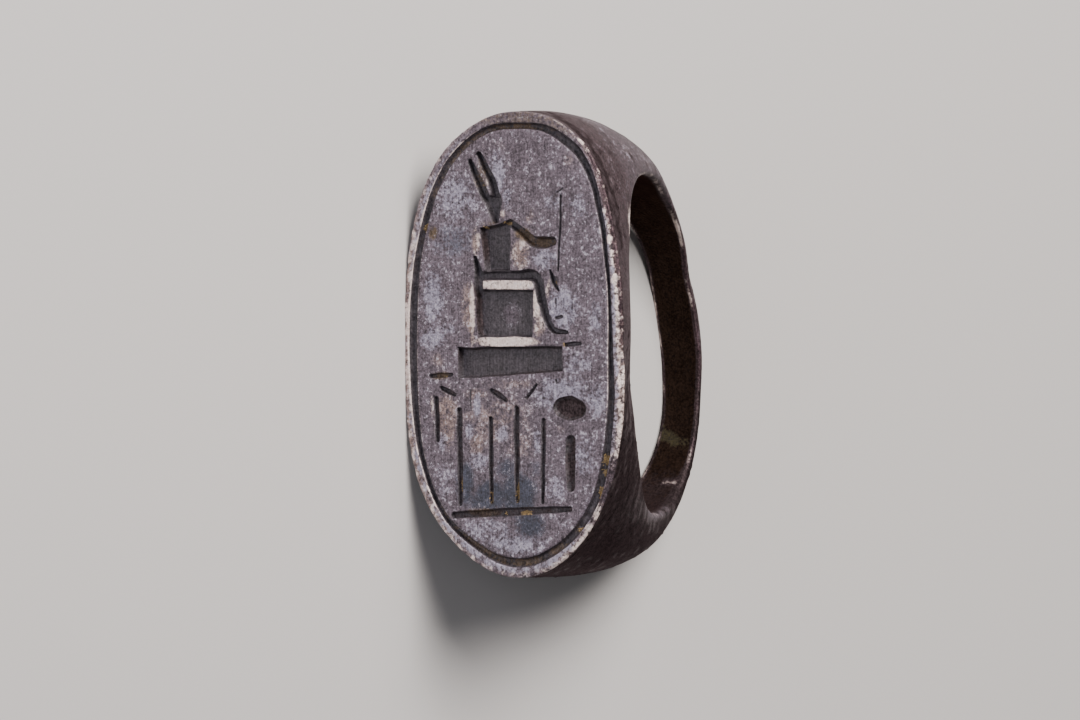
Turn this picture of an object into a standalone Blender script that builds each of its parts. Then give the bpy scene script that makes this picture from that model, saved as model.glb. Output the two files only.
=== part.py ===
"""A cast silver seal ring with a long oval bezel, lying on its side as it does when it is put down.

The ring is worked out in its own three directions and then laid down:
    across  along the finger, from one side of the band to the other
    along   the bezel's long direction, positive towards the carved figure's head
    depth   from the seal face back to the far side of the hoop
Sizes below are in millimetres. The mesh is made in metres.
"""

import math

import bmesh
import bpy
import numpy as np

MM = 0.001

# Seal face: a long oval, a little narrower at the foot end.
FACE_HALF_WIDTH = 7.54
FACE_POWERS = {"head": (2.3, 2.3), "foot": (2.45, 2.0)}

# The oval is trued by eye. Each side lies this far across from it, at places along it from the foot
# tip to the head tip, and this fades behind the face.
NEAR_SHIFTS = (
    (-14.06, 0.38), (-12.4, 0.36), (-10.0, 0.28), (-6.3, 0.16), (-3.3, 0.07), (-0.3, -0.08),
    (5.6, -0.08), (8.5, 0.02), (10.4, 0.26), (12.0, 0.43), (13.3, 0.34), (14.06, 0.3),
)
FAR_SHIFTS = (
    (-14.06, 0.38), (-13.3, 0.38), (-12.1, 0.22), (-10.9, 0.0), (-8.7, -0.17), (-6.7, -0.15),
    (-4.8, -0.05), (-1.8, 0.03), (1.2, 0.0), (4.2, -0.05), (7.1, -0.14), (9.5, -0.19),
    (11.2, -0.13), (12.4, 0.05), (13.5, 0.27), (14.06, 0.3),
)
SHIFT_DEPTH = 2.5

# Behind the rim the oval's wall draws in, most of it within the first millimetres.
DRAW_IN = 0.75
DRAW_DEPTH = 2.0

# Ridge: the outermost line of shoulders and hoop, seen from the side.
RIDGE_REACH = 14.06
RIDGE_CENTRE = 2.6
RING_DEPTH = 22.0
RIDGE_POWERS = {"head": 2.08, "foot": 2.8}

# Finger hole, seen from the side. It leans a little, as it does on a ring shaped by hand.
HOLE_REACH = 10.25
HOLE_CENTRE = 10.6
HOLE_FRONT = 2.8
HOLE_BACK = 20.6
HOLE_LEAN = -0.135
HOLE_POWERS = {"front": 2.0, "back": 2.38}

# Half-width of the band: wide under the bezel, narrow at the back of the hoop. It lets go near the
# face, where the oval alone sets the outline.
BAND_BACK = 1.3
BAND_FRONT = 9.0
BAND_TAPER = 1.6
BAND_TAPER_END = 21.0
LIP_RELEASE = 2.0
LIP_DEPTH = 0.9
EDGE_SOFTNESS = 7.0

# How square the band's section is: 1 is a thin-edged lens, 2 is half an ellipse. The hoop's values
# hold from SHOULDER_DEPTH back, and the shoulders get squarer towards the face.
FULLNESS = {"head": 1.8, "foot": 2.8, "back": 1.7}
SHOULDER_DEPTH = 8.0
SHOULDER_FULLNESS = 2.2
SHOULDER_POWER = 1.5
SHOULDER_LEAST = 0.05
HOOP_SPREAD = 9.0
HOLE_CHAMFER = 0.15

# Border groove inside the face's rim, cut by hand. The rim's land and the groove's width are given
# every 12 degrees of turn, from the head tip round by the near side.
RIM_LANDS = (
    0.66, 0.5, 0.39, 0.32, 0.28, 0.35, 0.53, 0.67, 0.49, 0.47, 0.3, 0.28, 0.41, 0.53, 0.63, 0.63,
    0.73, 0.78, 0.57, 0.59, 0.62, 0.47, 0.33, 0.3, 0.47, 0.53, 0.58, 0.54, 0.48, 0.54, 0.66,
)
GROOVE_WIDTHS = (
    0.42, 0.45, 0.6, 0.58, 0.47, 0.42, 0.34, 0.26, 0.48, 0.52, 0.6, 0.6, 0.57, 0.54, 0.5, 0.49,
    0.41, 0.32, 0.3, 0.3, 0.34, 0.45, 0.56, 0.6, 0.48, 0.49, 0.48, 0.47, 0.46, 0.44, 0.42,
)
GROOVE_DEPTH = 0.32
GROOVE_WALL_SHARE = 0.26

# Carving, cut into the seal face with sloping walls. Places are (across, along) on the face.
CUT_ABOVE = 0.25
WALL_SLOPE = 0.16
FLOOR_SHARE = 0.45
STROKE_END = 0.7

# Seated figure with two tall plumes, one arm forward, on a block throne over a footboard.
FIGURE_DEPTH = 0.5
FIGURE_BLOCKS = {
    "head": (
        (-2.25, 8.95), (-0.85, 9.0), (-0.75, 8.5),
        (-1.0, 7.3), (-1.42, 7.2), (-1.75, 8.05),
    ),
    "torso": (
        (-2.3, 7.0), (-0.85, 7.25), (-0.15, 7.5),
        (-0.2, 4.35), (-1.9, 4.35), (-2.15, 6.1),
    ),
    "throne": ((-2.6, 3.3), (1.4, 3.25), (1.35, 0.42), (-2.42, 0.42)),
    "footboard": ((-3.85, -0.2), (3.42, -0.12), (3.45, -1.65), (-3.78, -2.1)),
}
# Each limb is a path and the half-width at each of its points.
FIGURE_LIMBS = {
    "near_plume": (
        ((-2.36, 11.4), (-1.93, 10.64), (-1.5, 9.86), (-1.2, 8.95)),
        (0.2, 0.27, 0.29, 0.34),
    ),
    "far_plume": (
        ((-2.97, 11.0), (-2.55, 10.16), (-2.24, 9.55), (-1.85, 8.75)),
        (0.17, 0.26, 0.3, 0.32),
    ),
    "arm": (
        ((-0.15, 7.25), (0.6, 6.76), (1.4, 6.16), (2.15, 6.08), (2.75, 6.18)),
        (0.24, 0.28, 0.34, 0.37, 0.28),
    ),
    "thigh": (
        ((-2.1, 4.1), (0.3, 4.12), (1.2, 4.14), (1.72, 3.75), (1.98, 2.6)),
        (0.3, 0.3, 0.35, 0.36, 0.33),
    ),
    "shin": (
        ((1.88, 2.95), (2.03, 2.55), (2.4, 1.42), (2.85, 0.83), (3.75, 0.68)),
        (0.3, 0.31, 0.27, 0.22, 0.1),
    ),
    "throne_back": (((-2.62, 5.2), (-2.38, 4.3), (-2.36, 3.2)), (0.12, 0.3, 0.33)),
    "staff": (((3.3, 8.9), (3.25, 7.0), (3.08, 4.4)), (0.08, 0.09, 0.07)),
    "staff_foot": (((2.58, 4.42), (2.8, 3.8), (3.12, 3.25)), (0.08, 0.23, 0.08)),
}
LIMB_LEAST_DEPTH = 0.1
LIMB_DEPTH_SHARE = 1.0

# Rows of plain strokes below the figure: (across, top, bottom, half-width, lean of the foot).
STROKE_DEPTH = 0.24
TALL_STROKES = (
    (-3.68, -4.0, -9.6, 0.2, 0.06),
    (-1.52, -4.5, -9.5, 0.17, 0.04),
    (0.26, -3.9, -9.4, 0.19, 0.04),
    (2.12, -4.6, -9.5, 0.16, -0.04),
    (3.96, -5.8, -8.6, 0.34, 0.04),
    (-5.28, -3.3, -5.8, 0.18, 0.1),
)
# Short strokes between and beside the tall ones: (across, along, length, turn in degrees, half-width).
SHORT_STROKES = (
    (-4.45, -2.85, 1.0, -25, 0.17),
    (-0.95, -3.1, 1.1, -28, 0.2),
    (1.3, -2.85, 1.1, 50, 0.12),
    (3.95, -3.85, 1.1, -4, 0.76),
    (-4.95, -1.9, 1.4, 5, 0.17),
    (4.15, -0.02, 1.0, 3, 0.15),
    (-0.05, -10.1, 8.0, 2.8, 0.26),
)

# Lie of the ring: bezel edge and hoop each rest on a small flat spot.
REST_TILT = math.radians(16.6)
FLAT_DEPTH = 0.06

# Mesh density, and how far the points of a side crowd towards the ridge.
FACE_STEPS = 36
RIDGE_STEPS = 22
SIDE_STEPS = 8
MOST_CROWDING = 3.0
FLOOR_BLOCK = 60.0


def signed_power(value, power):
    """The power of a number's size, with its sign kept."""
    return np.sign(value) * np.abs(value) ** power


def oval_half_width(along, reach):
    """Half-width of an oval of the face's kind with this half-length."""
    along = np.asarray(along, float)
    half = np.empty(along.shape)
    share = np.abs(along) / np.maximum(reach, 1e-9)
    for end, chosen in (("head", along >= 0), ("foot", along < 0)):
        length_power, width_power = FACE_POWERS[end]
        left = np.maximum(1 - share**length_power, 0)
        half = np.where(chosen, left ** (1 / width_power), half)
    return FACE_HALF_WIDTH * half


def side_shift(along, depth, side):
    """How far across from the true oval a point of one side lies."""
    places, shifts = zip(*(NEAR_SHIFTS if side > 0 else FAR_SHIFTS))
    return np.interp(along, places, shifts) * np.exp(-depth / SHIFT_DEPTH)


def ridge_reach(depth, along):
    """How far out the ridge is at this depth, on the side where the point lies."""
    rise = np.clip(np.abs(depth - RIDGE_CENTRE) / (RING_DEPTH - RIDGE_CENTRE), 0, 1)
    head = (1 - rise ** RIDGE_POWERS["head"]) ** (1 / RIDGE_POWERS["head"])
    foot = (1 - rise ** RIDGE_POWERS["foot"]) ** (1 / RIDGE_POWERS["foot"])
    return RIDGE_REACH * np.where(along >= 0, head, foot)


def hole_point(along, depth):
    """The point of the finger hole's edge in the direction of a point outside it."""
    lean = depth - HOLE_CENTRE - HOLE_LEAN * along
    front = HOLE_CENTRE - HOLE_FRONT
    back = HOLE_BACK - HOLE_CENTRE
    half = np.where(lean < 0, front, back)
    power = np.where(lean < 0, HOLE_POWERS["front"], HOLE_POWERS["back"])
    size = (np.abs(along / HOLE_REACH) ** power + np.abs(lean / half) ** power) ** (1 / power)
    return along / size, HOLE_CENTRE + (depth - HOLE_CENTRE) / size


def band_half_width(depth):
    """Half-width that the taper from bezel to hoop allows at this depth."""
    left = np.clip(1 - depth / BAND_TAPER_END, 0, 1)
    taper = BAND_BACK + (BAND_FRONT - BAND_BACK) * left**BAND_TAPER
    return taper * (1 + LIP_RELEASE * np.exp(-depth / LIP_DEPTH))


def fullness(along, depth):
    """Squareness of the section that ends at this point of the ridge."""
    share = np.clip(np.abs(along) / HOOP_SPREAD, 0, 1)
    side = np.where(along >= 0, FULLNESS["head"], FULLNESS["foot"])
    hoop = FULLNESS["back"] + (side - FULLNESS["back"]) * share
    shoulder = np.clip(depth / SHOULDER_DEPTH, SHOULDER_LEAST, 1)
    return np.where(shoulder < 1, np.maximum(hoop, SHOULDER_FULLNESS), hoop) / shoulder**SHOULDER_POWER


def soft_least(first, second):
    """The smaller of two sizes, with the corner between them rounded."""
    total = first**-EDGE_SOFTNESS + second**-EDGE_SOFTNESS
    return total ** (-1 / EDGE_SOFTNESS)


def half_width(along, depth, out, square):
    """Half-width of the ring at a point, out of 1 of the way from hole to ridge."""
    crown = np.sqrt(np.maximum(1 - out**square, 1e-12))
    drawn_in = DRAW_IN * (1 - np.exp(-depth / DRAW_DEPTH)) / FACE_HALF_WIDTH
    oval = (1 - drawn_in) * oval_half_width(along, ridge_reach(depth, along))
    return soft_least(band_half_width(depth) * crown, np.maximum(oval, 1e-9))


def face_outline(steps):
    """Points (across, along) of half the oval, from the head tip to the foot tip."""
    turn = np.linspace(0, math.pi, steps + 1)
    along = np.empty(steps + 1)
    across = np.empty(steps + 1)
    for index, angle in enumerate(turn):
        end = "head" if angle <= math.pi / 2 else "foot"
        length_power, width_power = FACE_POWERS[end]
        reach = float(ridge_reach(0.0, math.cos(angle)))
        along[index] = reach * signed_power(math.cos(angle), 2 / length_power)
        across[index] = FACE_HALF_WIDTH * abs(math.sin(angle)) ** (2 / width_power)
    across[0] = across[-1] = 0.0
    return across, along


def ridge_line(steps):
    """Points (along, depth) of the ridge, between the foot tip and the head tip."""
    points = []
    for end, sign in (("foot", -1), ("head", 1)):
        power = RIDGE_POWERS[end]
        start = -math.asin((RIDGE_CENTRE / (RING_DEPTH - RIDGE_CENTRE)) ** (power / 2))
        turn = np.linspace(start, math.pi / 2, steps + 1)
        along = sign * RIDGE_REACH * np.abs(np.cos(turn)) ** (2 / power)
        deep = RIDGE_CENTRE + (RING_DEPTH - RIDGE_CENTRE) * signed_power(np.sin(turn), 2 / power)
        points.append(np.stack([along, deep], axis=1))
    foot, head = points
    return np.concatenate([foot[1:], head[-2:0:-1]])


def stations():
    """Outer points (along, depth) right round the ring's side view, with the face's half-widths."""
    across, along = face_outline(FACE_STEPS)
    ridge = ridge_line(RIDGE_STEPS)
    outer = np.concatenate([np.stack([along, np.zeros(len(along))], axis=1), ridge])
    return outer, np.concatenate([across, np.zeros(len(ridge))])


def side_points(outer, face_width):
    """Points (along, half-width, depth) from the hole's edge out to an outer point."""
    hole = np.array(hole_point(outer[0], outer[1]))
    square = float(fullness(outer[0], outer[1]))
    spread = np.sin(np.linspace(0, 1, SIDE_STEPS + 1) * math.pi / 2) ** (2 / min(square, MOST_CROWDING))
    first = HOLE_CHAMFER / np.linalg.norm(outer - hole)
    out = first + (1 - first) * spread
    place = hole + (outer - hole) * out[:, None]
    width = half_width(place[:, 0], place[:, 1], out, square)
    width[-1] = face_width
    edge = [hole[0], width[0] - HOLE_CHAMFER, hole[1]]
    return np.vstack([edge, np.stack([place[:, 0], width, place[:, 1]], axis=1)])


def ring_vertices(points, side):
    """Side points as (across, along, depth), on one side of the ring, with that side's shift."""
    shift = side_shift(points[:, 0], points[:, 2], side)
    return np.stack([side * points[:, 1] + shift, points[:, 0], points[:, 2]], axis=1)


def round_face(sizes):
    """Sizes that are known round the face, at each point of its outline."""
    near = np.arange(FACE_STEPS + 1)
    far = 2 * FACE_STEPS - np.arange(FACE_STEPS - 1, 0, -1)
    turns = np.concatenate([near, far]) / (2 * FACE_STEPS)
    return np.interp(turns, np.linspace(0, 1, len(sizes)), sizes)


def inset_loop(loop, inset, depth):
    """A closed loop on the seal face, moved inwards and down to a depth."""
    flow = np.roll(loop, -1, axis=0) - np.roll(loop, 1, axis=0)
    normal = np.stack([-flow[:, 1], flow[:, 0]], axis=1)
    normal /= np.linalg.norm(normal, axis=1)[:, None]
    inward = -np.sign((normal * loop[:, :2]).sum(axis=1))[:, None] * normal
    moved = loop.copy()
    moved[:, :2] += inset[:, None] * inward
    moved[:, 2] = depth
    return moved


def stroke_outline(path, half_widths, share):
    """Closed outline of a stroke along a path, with blunt pointed ends."""
    path = np.array(path, float)
    flow = np.gradient(path, axis=0)
    flow /= np.linalg.norm(flow, axis=1)[:, None]
    wide = np.array(half_widths, float)[:, None] * share
    beside = np.stack([-flow[:, 1], flow[:, 0]], axis=1) * wide
    start = path[:1] - STROKE_END * wide[0] * flow[:1]
    end = path[-1:] + STROKE_END * wide[-1] * flow[-1:]
    return np.concatenate([start, path + beside, end, (path - beside)[::-1]])


def block_outline(corners, inset):
    """Closed outline of a sunk block, moved inwards by a distance."""
    corners = np.array(corners, float)
    before = corners - np.roll(corners, 1, axis=0)
    after = np.roll(corners, -1, axis=0) - corners
    before /= np.linalg.norm(before, axis=1)[:, None]
    after /= np.linalg.norm(after, axis=1)[:, None]
    turn = before[:, 0] * after[:, 1] - before[:, 1] * after[:, 0]
    both = before + after
    normal = np.stack([-both[:, 1], both[:, 0]], axis=1) * np.sign(turn.sum())
    return corners + inset * 2 * normal / (both**2).sum(axis=1)[:, None]


def cutter_mesh(above, floor, depth):
    """A closed cutter between an outline above the face and one at the floor of the cut."""
    parts = MeshParts()
    top = np.column_stack([above, np.full(len(above), -CUT_ABOVE)])
    bottom = np.column_stack([floor, np.full(len(floor), depth)])
    first = parts.add(top)
    second = parts.add(bottom)
    parts.bridge(first, second, closed=True)
    parts.faces += [first, second]
    return parts


def stroke_cutter(path, half_widths, depth):
    """Cutter of one stroke, as wide at the face as its half-widths say."""
    wider = 1 + (1 - FLOOR_SHARE) * CUT_ABOVE / depth
    above = stroke_outline(path, half_widths, wider)
    return cutter_mesh(above, stroke_outline(path, half_widths, FLOOR_SHARE), depth)


def block_cutter(corners, depth):
    """Cutter of one sunk block with sloping walls."""
    above = block_outline(corners, -WALL_SLOPE * CUT_ABOVE / depth)
    return cutter_mesh(above, block_outline(corners, WALL_SLOPE), depth)


def carving_cutters():
    """Every cutter of the carving, by name."""
    cutters = {name: block_cutter(corners, FIGURE_DEPTH) for name, corners in FIGURE_BLOCKS.items()}
    for name, (path, half_widths) in FIGURE_LIMBS.items():
        depth = min(FIGURE_DEPTH, LIMB_LEAST_DEPTH + LIMB_DEPTH_SHARE * max(half_widths))
        cutters[name] = stroke_cutter(path, half_widths, depth)
    for number, (across, top, bottom, half, lean) in enumerate(TALL_STROKES):
        path = ((across, top), (across + lean / 2, (top + bottom) / 2), (across + lean, bottom))
        widths = (half, half, half * 0.8)
        cutters[f"tall_stroke_{number}"] = stroke_cutter(path, widths, STROKE_DEPTH)
    for number, (across, along, length, turn, half) in enumerate(SHORT_STROKES):
        angle = math.radians(turn)
        reach = np.array([math.cos(angle), math.sin(angle)]) * length / 2
        centre = np.array([across, along])
        path = (centre - reach, centre, centre + reach)
        widths = (half * 0.8, half, half * 0.7)
        cutters[f"short_stroke_{number}"] = stroke_cutter(path, widths, STROKE_DEPTH)
    return cutters


def laid_down(points):
    """Ring directions (across, along, depth) turned to the way the ring lies, in millimetres."""
    across, along, depth = np.asarray(points, float).T
    back = depth * math.cos(REST_TILT) + across * math.sin(REST_TILT)
    up = across * math.cos(REST_TILT) - depth * math.sin(REST_TILT)
    return np.stack([-along, back, up], axis=1)


class MeshParts:
    """Vertices and faces of one mesh, gathered in ring directions."""

    def __init__(self):
        self.points = []
        self.faces = []

    def add(self, points):
        """Adds points and gives their numbers."""
        start = len(self.points)
        self.points.extend(points)
        return list(range(start, start + len(points)))

    def bridge(self, first, second, closed=False):
        """Joins two rows of point numbers with faces, leaving out edges that have closed up."""
        count = len(first)
        for index in range(count if closed else count - 1):
            after = (index + 1) % count
            corners = [first[index], first[after], second[after], second[index]]
            face = [corner for place, corner in enumerate(corners) if corner not in corners[:place]]
            if len(face) > 2:
                self.faces.append(face)


def ring_body():
    """The whole casting with its border groove, before the carving."""
    parts = MeshParts()
    outer, face_width = stations()
    rows = {1: [], -1: []}
    for index, (point, width) in enumerate(zip(outer, face_width)):
        points = side_points(point, width)
        near = parts.add(ring_vertices(points, 1))
        far = parts.add(ring_vertices(points, -1)[:-1])
        meets = width == 0
        far += [near[-1]] if meets else parts.add(ring_vertices(points, -1)[-1:])
        rows[1].append(near)
        rows[-1].append(far)
    count = len(outer)
    for index in range(count):
        after = (index + 1) % count
        parts.bridge(rows[1][index], rows[1][after])
        parts.bridge(rows[-1][index], rows[-1][after])
        parts.faces.append(
            [rows[1][index][0], rows[1][after][0], rows[-1][after][0], rows[-1][index][0]]
        )
    rim = [row[-1] for row in rows[1][: FACE_STEPS + 1]]
    rim += [row[-1] for row in rows[-1][FACE_STEPS - 1 : 0 : -1]]
    outline = np.array([parts.points[number] for number in rim])
    land, width = round_face(RIM_LANDS), round_face(GROOVE_WIDTHS)
    walls = (GROOVE_WALL_SHARE, 1 - GROOVE_WALL_SHARE)
    last = rim
    for share, depth in ((0.0, 0.0), (walls[0], GROOVE_DEPTH), (walls[1], GROOVE_DEPTH), (1.0, 0.0)):
        loop = parts.add(inset_loop(outline, land + share * width, depth))
        parts.bridge(last, loop, closed=True)
        last = loop
    parts.faces.append(last)
    return parts


def mesh_object(name, parts, drop):
    """A Blender object of the gathered mesh, laid down and lowered on to the floor."""
    points = laid_down(parts.points) - drop
    mesh = bpy.data.meshes.new(name)
    mesh.from_pydata([tuple(point * MM) for point in points], [], parts.faces)
    shaped = bmesh.new()
    shaped.from_mesh(mesh)
    bmesh.ops.recalc_face_normals(shaped, faces=shaped.faces)
    shaped.to_mesh(mesh)
    shaped.free()
    made = bpy.data.objects.new(name, mesh)
    bpy.context.scene.collection.objects.link(made)
    return made


def hide_cutter(cutter):
    """Keeps a cutter out of the render and draws it as wire."""
    cutter.hide_render = True
    cutter.display_type = "WIRE"


def cut(target, cutter):
    """Takes a cutter away from an object with a live Boolean."""
    modifier = target.modifiers.new(cutter.name, "BOOLEAN")
    modifier.operation = "DIFFERENCE"
    modifier.solver = "EXACT"
    modifier.object = cutter


def floor_cutter(name):
    """A block under the floor plane, which leaves the two flat spots that the ring rests on."""
    block = bmesh.new()
    bmesh.ops.create_cube(block, size=FLOOR_BLOCK * MM)
    mesh = bpy.data.meshes.new(name)
    block.to_mesh(mesh)
    block.free()
    made = bpy.data.objects.new(name, mesh)
    made.location = (0, 0, -FLOOR_BLOCK * MM / 2)
    bpy.context.scene.collection.objects.link(made)
    return made


def tarnished_silver():
    """Old silver, dulled grey with a brown cast."""
    material = bpy.data.materials.new("tarnished_silver")
    material.use_nodes = True
    shader = material.node_tree.nodes["Principled BSDF"]
    shader.inputs["Base Color"].default_value = (0.19, 0.165, 0.17, 1.0)
    shader.inputs["Metallic"].default_value = 0.85
    shader.inputs["Roughness"].default_value = 0.5
    return material


def main():
    """Builds the ring, carves it and lays it on its two flat spots."""
    for old in list(bpy.data.objects):
        bpy.data.objects.remove(old)
    body = ring_body()
    placed = laid_down(body.points)
    low, high = placed.min(axis=0), placed.max(axis=0)
    drop = np.array([(low[0] + high[0]) / 2, (low[1] + high[1]) / 2, low[2] + FLAT_DEPTH])
    ring = mesh_object("seal_ring", body, drop)
    ring.data.shade_smooth()
    ring.data.set_sharp_from_angle(angle=math.radians(35))
    ring.data.materials.append(tarnished_silver())
    for name, parts in carving_cutters().items():
        cutter = mesh_object(f"cut_{name}", parts, drop)
        hide_cutter(cutter)
        cut(ring, cutter)
    floor = floor_cutter("cut_rest_flats")
    hide_cutter(floor)
    cut(ring, floor)


main()
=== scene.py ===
"""Looks of an old cast silver seal ring, lying on its side on a pale floor.

The ring is worked out in its own three directions and then laid down in the frame:
    across  along the finger, from the far side of the band to the near side, which lies up
    along   the bezel's long direction, positive towards the carved figure's head
    depth   from the seal face back to the far side of the hoop
Sizes are in millimetres until a mesh is made, which is in metres.
"""

import logging
import math
from dataclasses import dataclass
from enum import Enum
from typing import Any

import bmesh
import bpy
import numpy as np
from mathutils import Matrix, Vector
from mathutils.geometry import delaunay_2d_cdt


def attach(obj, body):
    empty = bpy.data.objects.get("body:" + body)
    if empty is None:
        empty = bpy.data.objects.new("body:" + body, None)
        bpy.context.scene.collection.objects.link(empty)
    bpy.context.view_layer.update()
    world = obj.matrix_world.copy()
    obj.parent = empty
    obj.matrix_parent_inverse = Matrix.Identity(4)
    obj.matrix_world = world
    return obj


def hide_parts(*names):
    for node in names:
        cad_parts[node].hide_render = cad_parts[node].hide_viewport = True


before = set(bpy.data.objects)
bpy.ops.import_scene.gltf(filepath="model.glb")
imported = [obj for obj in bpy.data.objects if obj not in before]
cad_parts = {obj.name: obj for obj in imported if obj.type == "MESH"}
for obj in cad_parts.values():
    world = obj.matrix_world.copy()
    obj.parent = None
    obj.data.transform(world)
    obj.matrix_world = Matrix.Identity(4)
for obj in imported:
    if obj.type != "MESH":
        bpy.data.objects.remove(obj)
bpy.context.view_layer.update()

MM = 0.001
# Seed of all that is drawn at random. Each ripple adds a number of its own to it.
SEED = 11
NODE = "seal_ring"
PIT = "pit"
MATH = "ShaderNodeMath"
# Where along the ring its darker foot end starts and is full, in mm. The darkening is partly black sulphide
# and partly painted shade on the lower shoulder.
FOOT_END = (1.5, -6.5)
LOG = logging.getLogger("seal_ring")
Array = np.ndarray
Row = tuple[float, ...]
Pair = tuple[float, float]
Triple = tuple[float, float, float]
Tree = bpy.types.NodeTree
Socket = bpy.types.NodeSocket
Outputs = bpy.types.bpy_prop_collection


class End(Enum):
    """Which end of the bezel a size is for."""

    HEAD = 1.0
    FOOT = -1.0


class Mark(Enum):
    """What is written on the ring's points for its finish.

    A mark is 0 where there is none of it and about 1 where there is plenty. A little less than 0 or
    more than 1 holds the finish back or makes sure of it.
    """

    CUT = "cut"
    # Rubbed metal, which also carries painted highlights on the far rim's inner edge and at the head end of
    # the finger hole.
    BARE_AND_HIGHLIGHT = "bare"
    BLOOM = "bloom"
    WARM = "warm"
    STAIN = "stain"
    EARTH = "earth"
    BROWN = "brown"
    OLIVE = "olive"
    # Black-brown film in the finger hole, partly real tarnish and partly painted shade, darkest away from the
    # hole's edges.
    INSIDE = "inside"
    # Black sulphide, and painted shade: the foot end, some cut walls, the wide hollows, the finger hole's
    # wall and a band behind the bezel are darkened for shade.
    SOOT_AND_SHADE = "soot_and_shade"
    HOOP = "hoop"
    ROUGH = "rough"


class Zone(Enum):
    """Which part of the bezel's edge a loop of points is on."""

    WALL = "wall"
    EDGE = "edge"
    LAND = "land"
    GROOVE = "groove"


Marks = dict[Mark, Array | float]


# Small helpers


def smooth_step(low: float, high: float, value: Array) -> Array:
    """A share from 0 to 1 that eases in and out between two values.

    Args:
        low: Where the share starts to rise.
        high: Where it is full.
        value: The values to judge.

    Returns:
        The share for each value.
    """
    share = np.clip((value - low) / (high - low), 0, 1)
    return share * share * (3 - 2 * share)


def bell(value: Array, centre: float | Array, reach: float | Array) -> Array:
    """A share that is 1 at the centre and falls off softly on both sides of it."""
    return np.exp(-(((value - centre) / reach) ** 2))


def signed_power(value: Array, power: float | Array) -> Array:
    """The power of a number's size, with its sign kept."""
    return np.sign(value) * np.abs(value) ** power


def soft_least(first: Array, second: Array, sharpness: float) -> Array:
    """The smaller of two sizes, with the corner between them rounded."""
    total = np.maximum(first, 1e-6) ** -sharpness + np.maximum(second, 1e-6) ** -sharpness
    return total ** (-1 / sharpness)


def ripple(spots: Array, size: float, seed: int, waves: int = 14) -> Array:
    """Smooth unevenness with no direction, from a few crossing waves.

    Args:
        spots: Points in any number of dimensions, in mm.
        size: Typical distance between two bumps, in mm.
        seed: Picks the waves.
        waves: How many waves cross.

    Returns:
        About -1 to 1 at each point.
    """
    draw = np.random.default_rng(seed)
    directions = draw.normal(size=(waves, spots.shape[-1]))
    directions /= np.linalg.norm(directions, axis=1)[:, None]
    pace = 2 * math.pi / (size * draw.uniform(0.7, 1.6, waves))
    start = draw.uniform(0, 2 * math.pi, waves)
    return np.sin(spots @ (directions * pace[:, None]).T + start).sum(-1) / math.sqrt(waves)


def round_face(values: Row, turns: Array, ease: float = 0.12) -> Array:
    """Values known at even steps of turn round the face, eased in between.

    Args:
        values: From the head tip round by the near side and back to the head tip.
        turns: Turns from 0 to two pi.
        ease: Turn to each side over which the values are averaged.

    Returns:
        The value at each turn.
    """
    known = np.linspace(0, 2 * math.pi, len(values))
    beside = np.linspace(-ease, ease, 7)
    return np.mean([np.interp((turns + step) % (2 * math.pi), known, values) for step in beside], axis=0)


def linear(colour: str) -> tuple[float, float, float, float]:
    """Turns an sRGB hex colour into the linear one that a socket takes.

    Args:
        colour: Such as "#7a6f73".

    Returns:
        Red, green, blue and 1.
    """
    parts = [int(colour[start : start + 2], 16) / 255 for start in (1, 3, 5)]
    return (*[part / 12.92 if part <= 0.04045 else ((part + 0.055) / 1.055) ** 2.4 for part in parts], 1.0)


def add_node(tree: Tree, kind: str, links: dict[int | str, Any] | None = None, **settings: Any) -> Outputs:
    """Adds a node and fills its inputs.

    Args:
        tree: The tree that the node joins.
        kind: Blender's name for the node type.
        links: For each input, a value or another node's output.
        settings: Properties of the node.

    Returns:
        The node's outputs, by number or name.
    """
    node = tree.nodes.new(kind)
    for name, value in settings.items():
        setattr(node, name, value)
    for socket, value in (links or {}).items():
        if isinstance(value, Socket):
            tree.links.new(value, node.inputs[socket])
        else:
            node.inputs[socket].default_value = value
    return node.outputs


def link_object(name: str, data: bpy.types.ID) -> bpy.types.Object:
    """Puts a mesh, lamp or camera in the scene, at the origin.

    Args:
        name: Name of the object.
        data: The mesh, lamp or camera.

    Returns:
        The object.
    """
    made = bpy.data.objects.new(name, data)
    bpy.context.scene.collection.objects.link(made)
    return made


def run_tree(
    source: bpy.types.Object, tree: Tree, sizes: dict[str, Any], name: str
) -> bpy.types.Object:
    """Runs a Geometry Nodes tree on an object and keeps the result as a plain mesh.

    Args:
        source: The object that the tree starts from. It is left as it was.
        tree: The tree.
        sizes: A value for each named input of the tree.
        name: Name of the new object.

    Returns:
        A new object with the finished mesh and no modifier.
    """
    modifier = source.modifiers.new(tree.name, "NODES")
    modifier.node_group = tree
    for item in tree.interface.items_tree:
        if item.item_type == "SOCKET" and item.in_out == "INPUT" and item.name in sizes:
            modifier[item.identifier] = sizes[item.name]
    graph = bpy.context.evaluated_depsgraph_get()
    graph.update()
    mesh = bpy.data.meshes.new_from_object(source.evaluated_get(graph), depsgraph=graph)
    mesh.name = name
    source.modifiers.remove(modifier)
    return link_object(name, mesh)


def new_tree(name: str, floats: tuple[str, ...]) -> Tree:
    """Starts a Geometry Nodes tree with named inputs.

    Args:
        name: Name of the tree.
        floats: Names of its sizes and shares. A seed and a finish are always there.

    Returns:
        The tree, with its interface but no nodes.
    """
    tree = bpy.data.node_groups.new(name, "GeometryNodeTree")
    sizes = [(label, "Float") for label in floats]
    kinds = [("Geometry", "Geometry"), *sizes, ("Seed", "Int"), ("Finish", "Material")]
    for label, kind in kinds:
        tree.interface.new_socket(label, in_out="INPUT", socket_type=f"NodeSocket{kind}")
    tree.interface.new_socket("Geometry", in_out="OUTPUT", socket_type="NodeSocketGeometry")
    return tree


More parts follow.
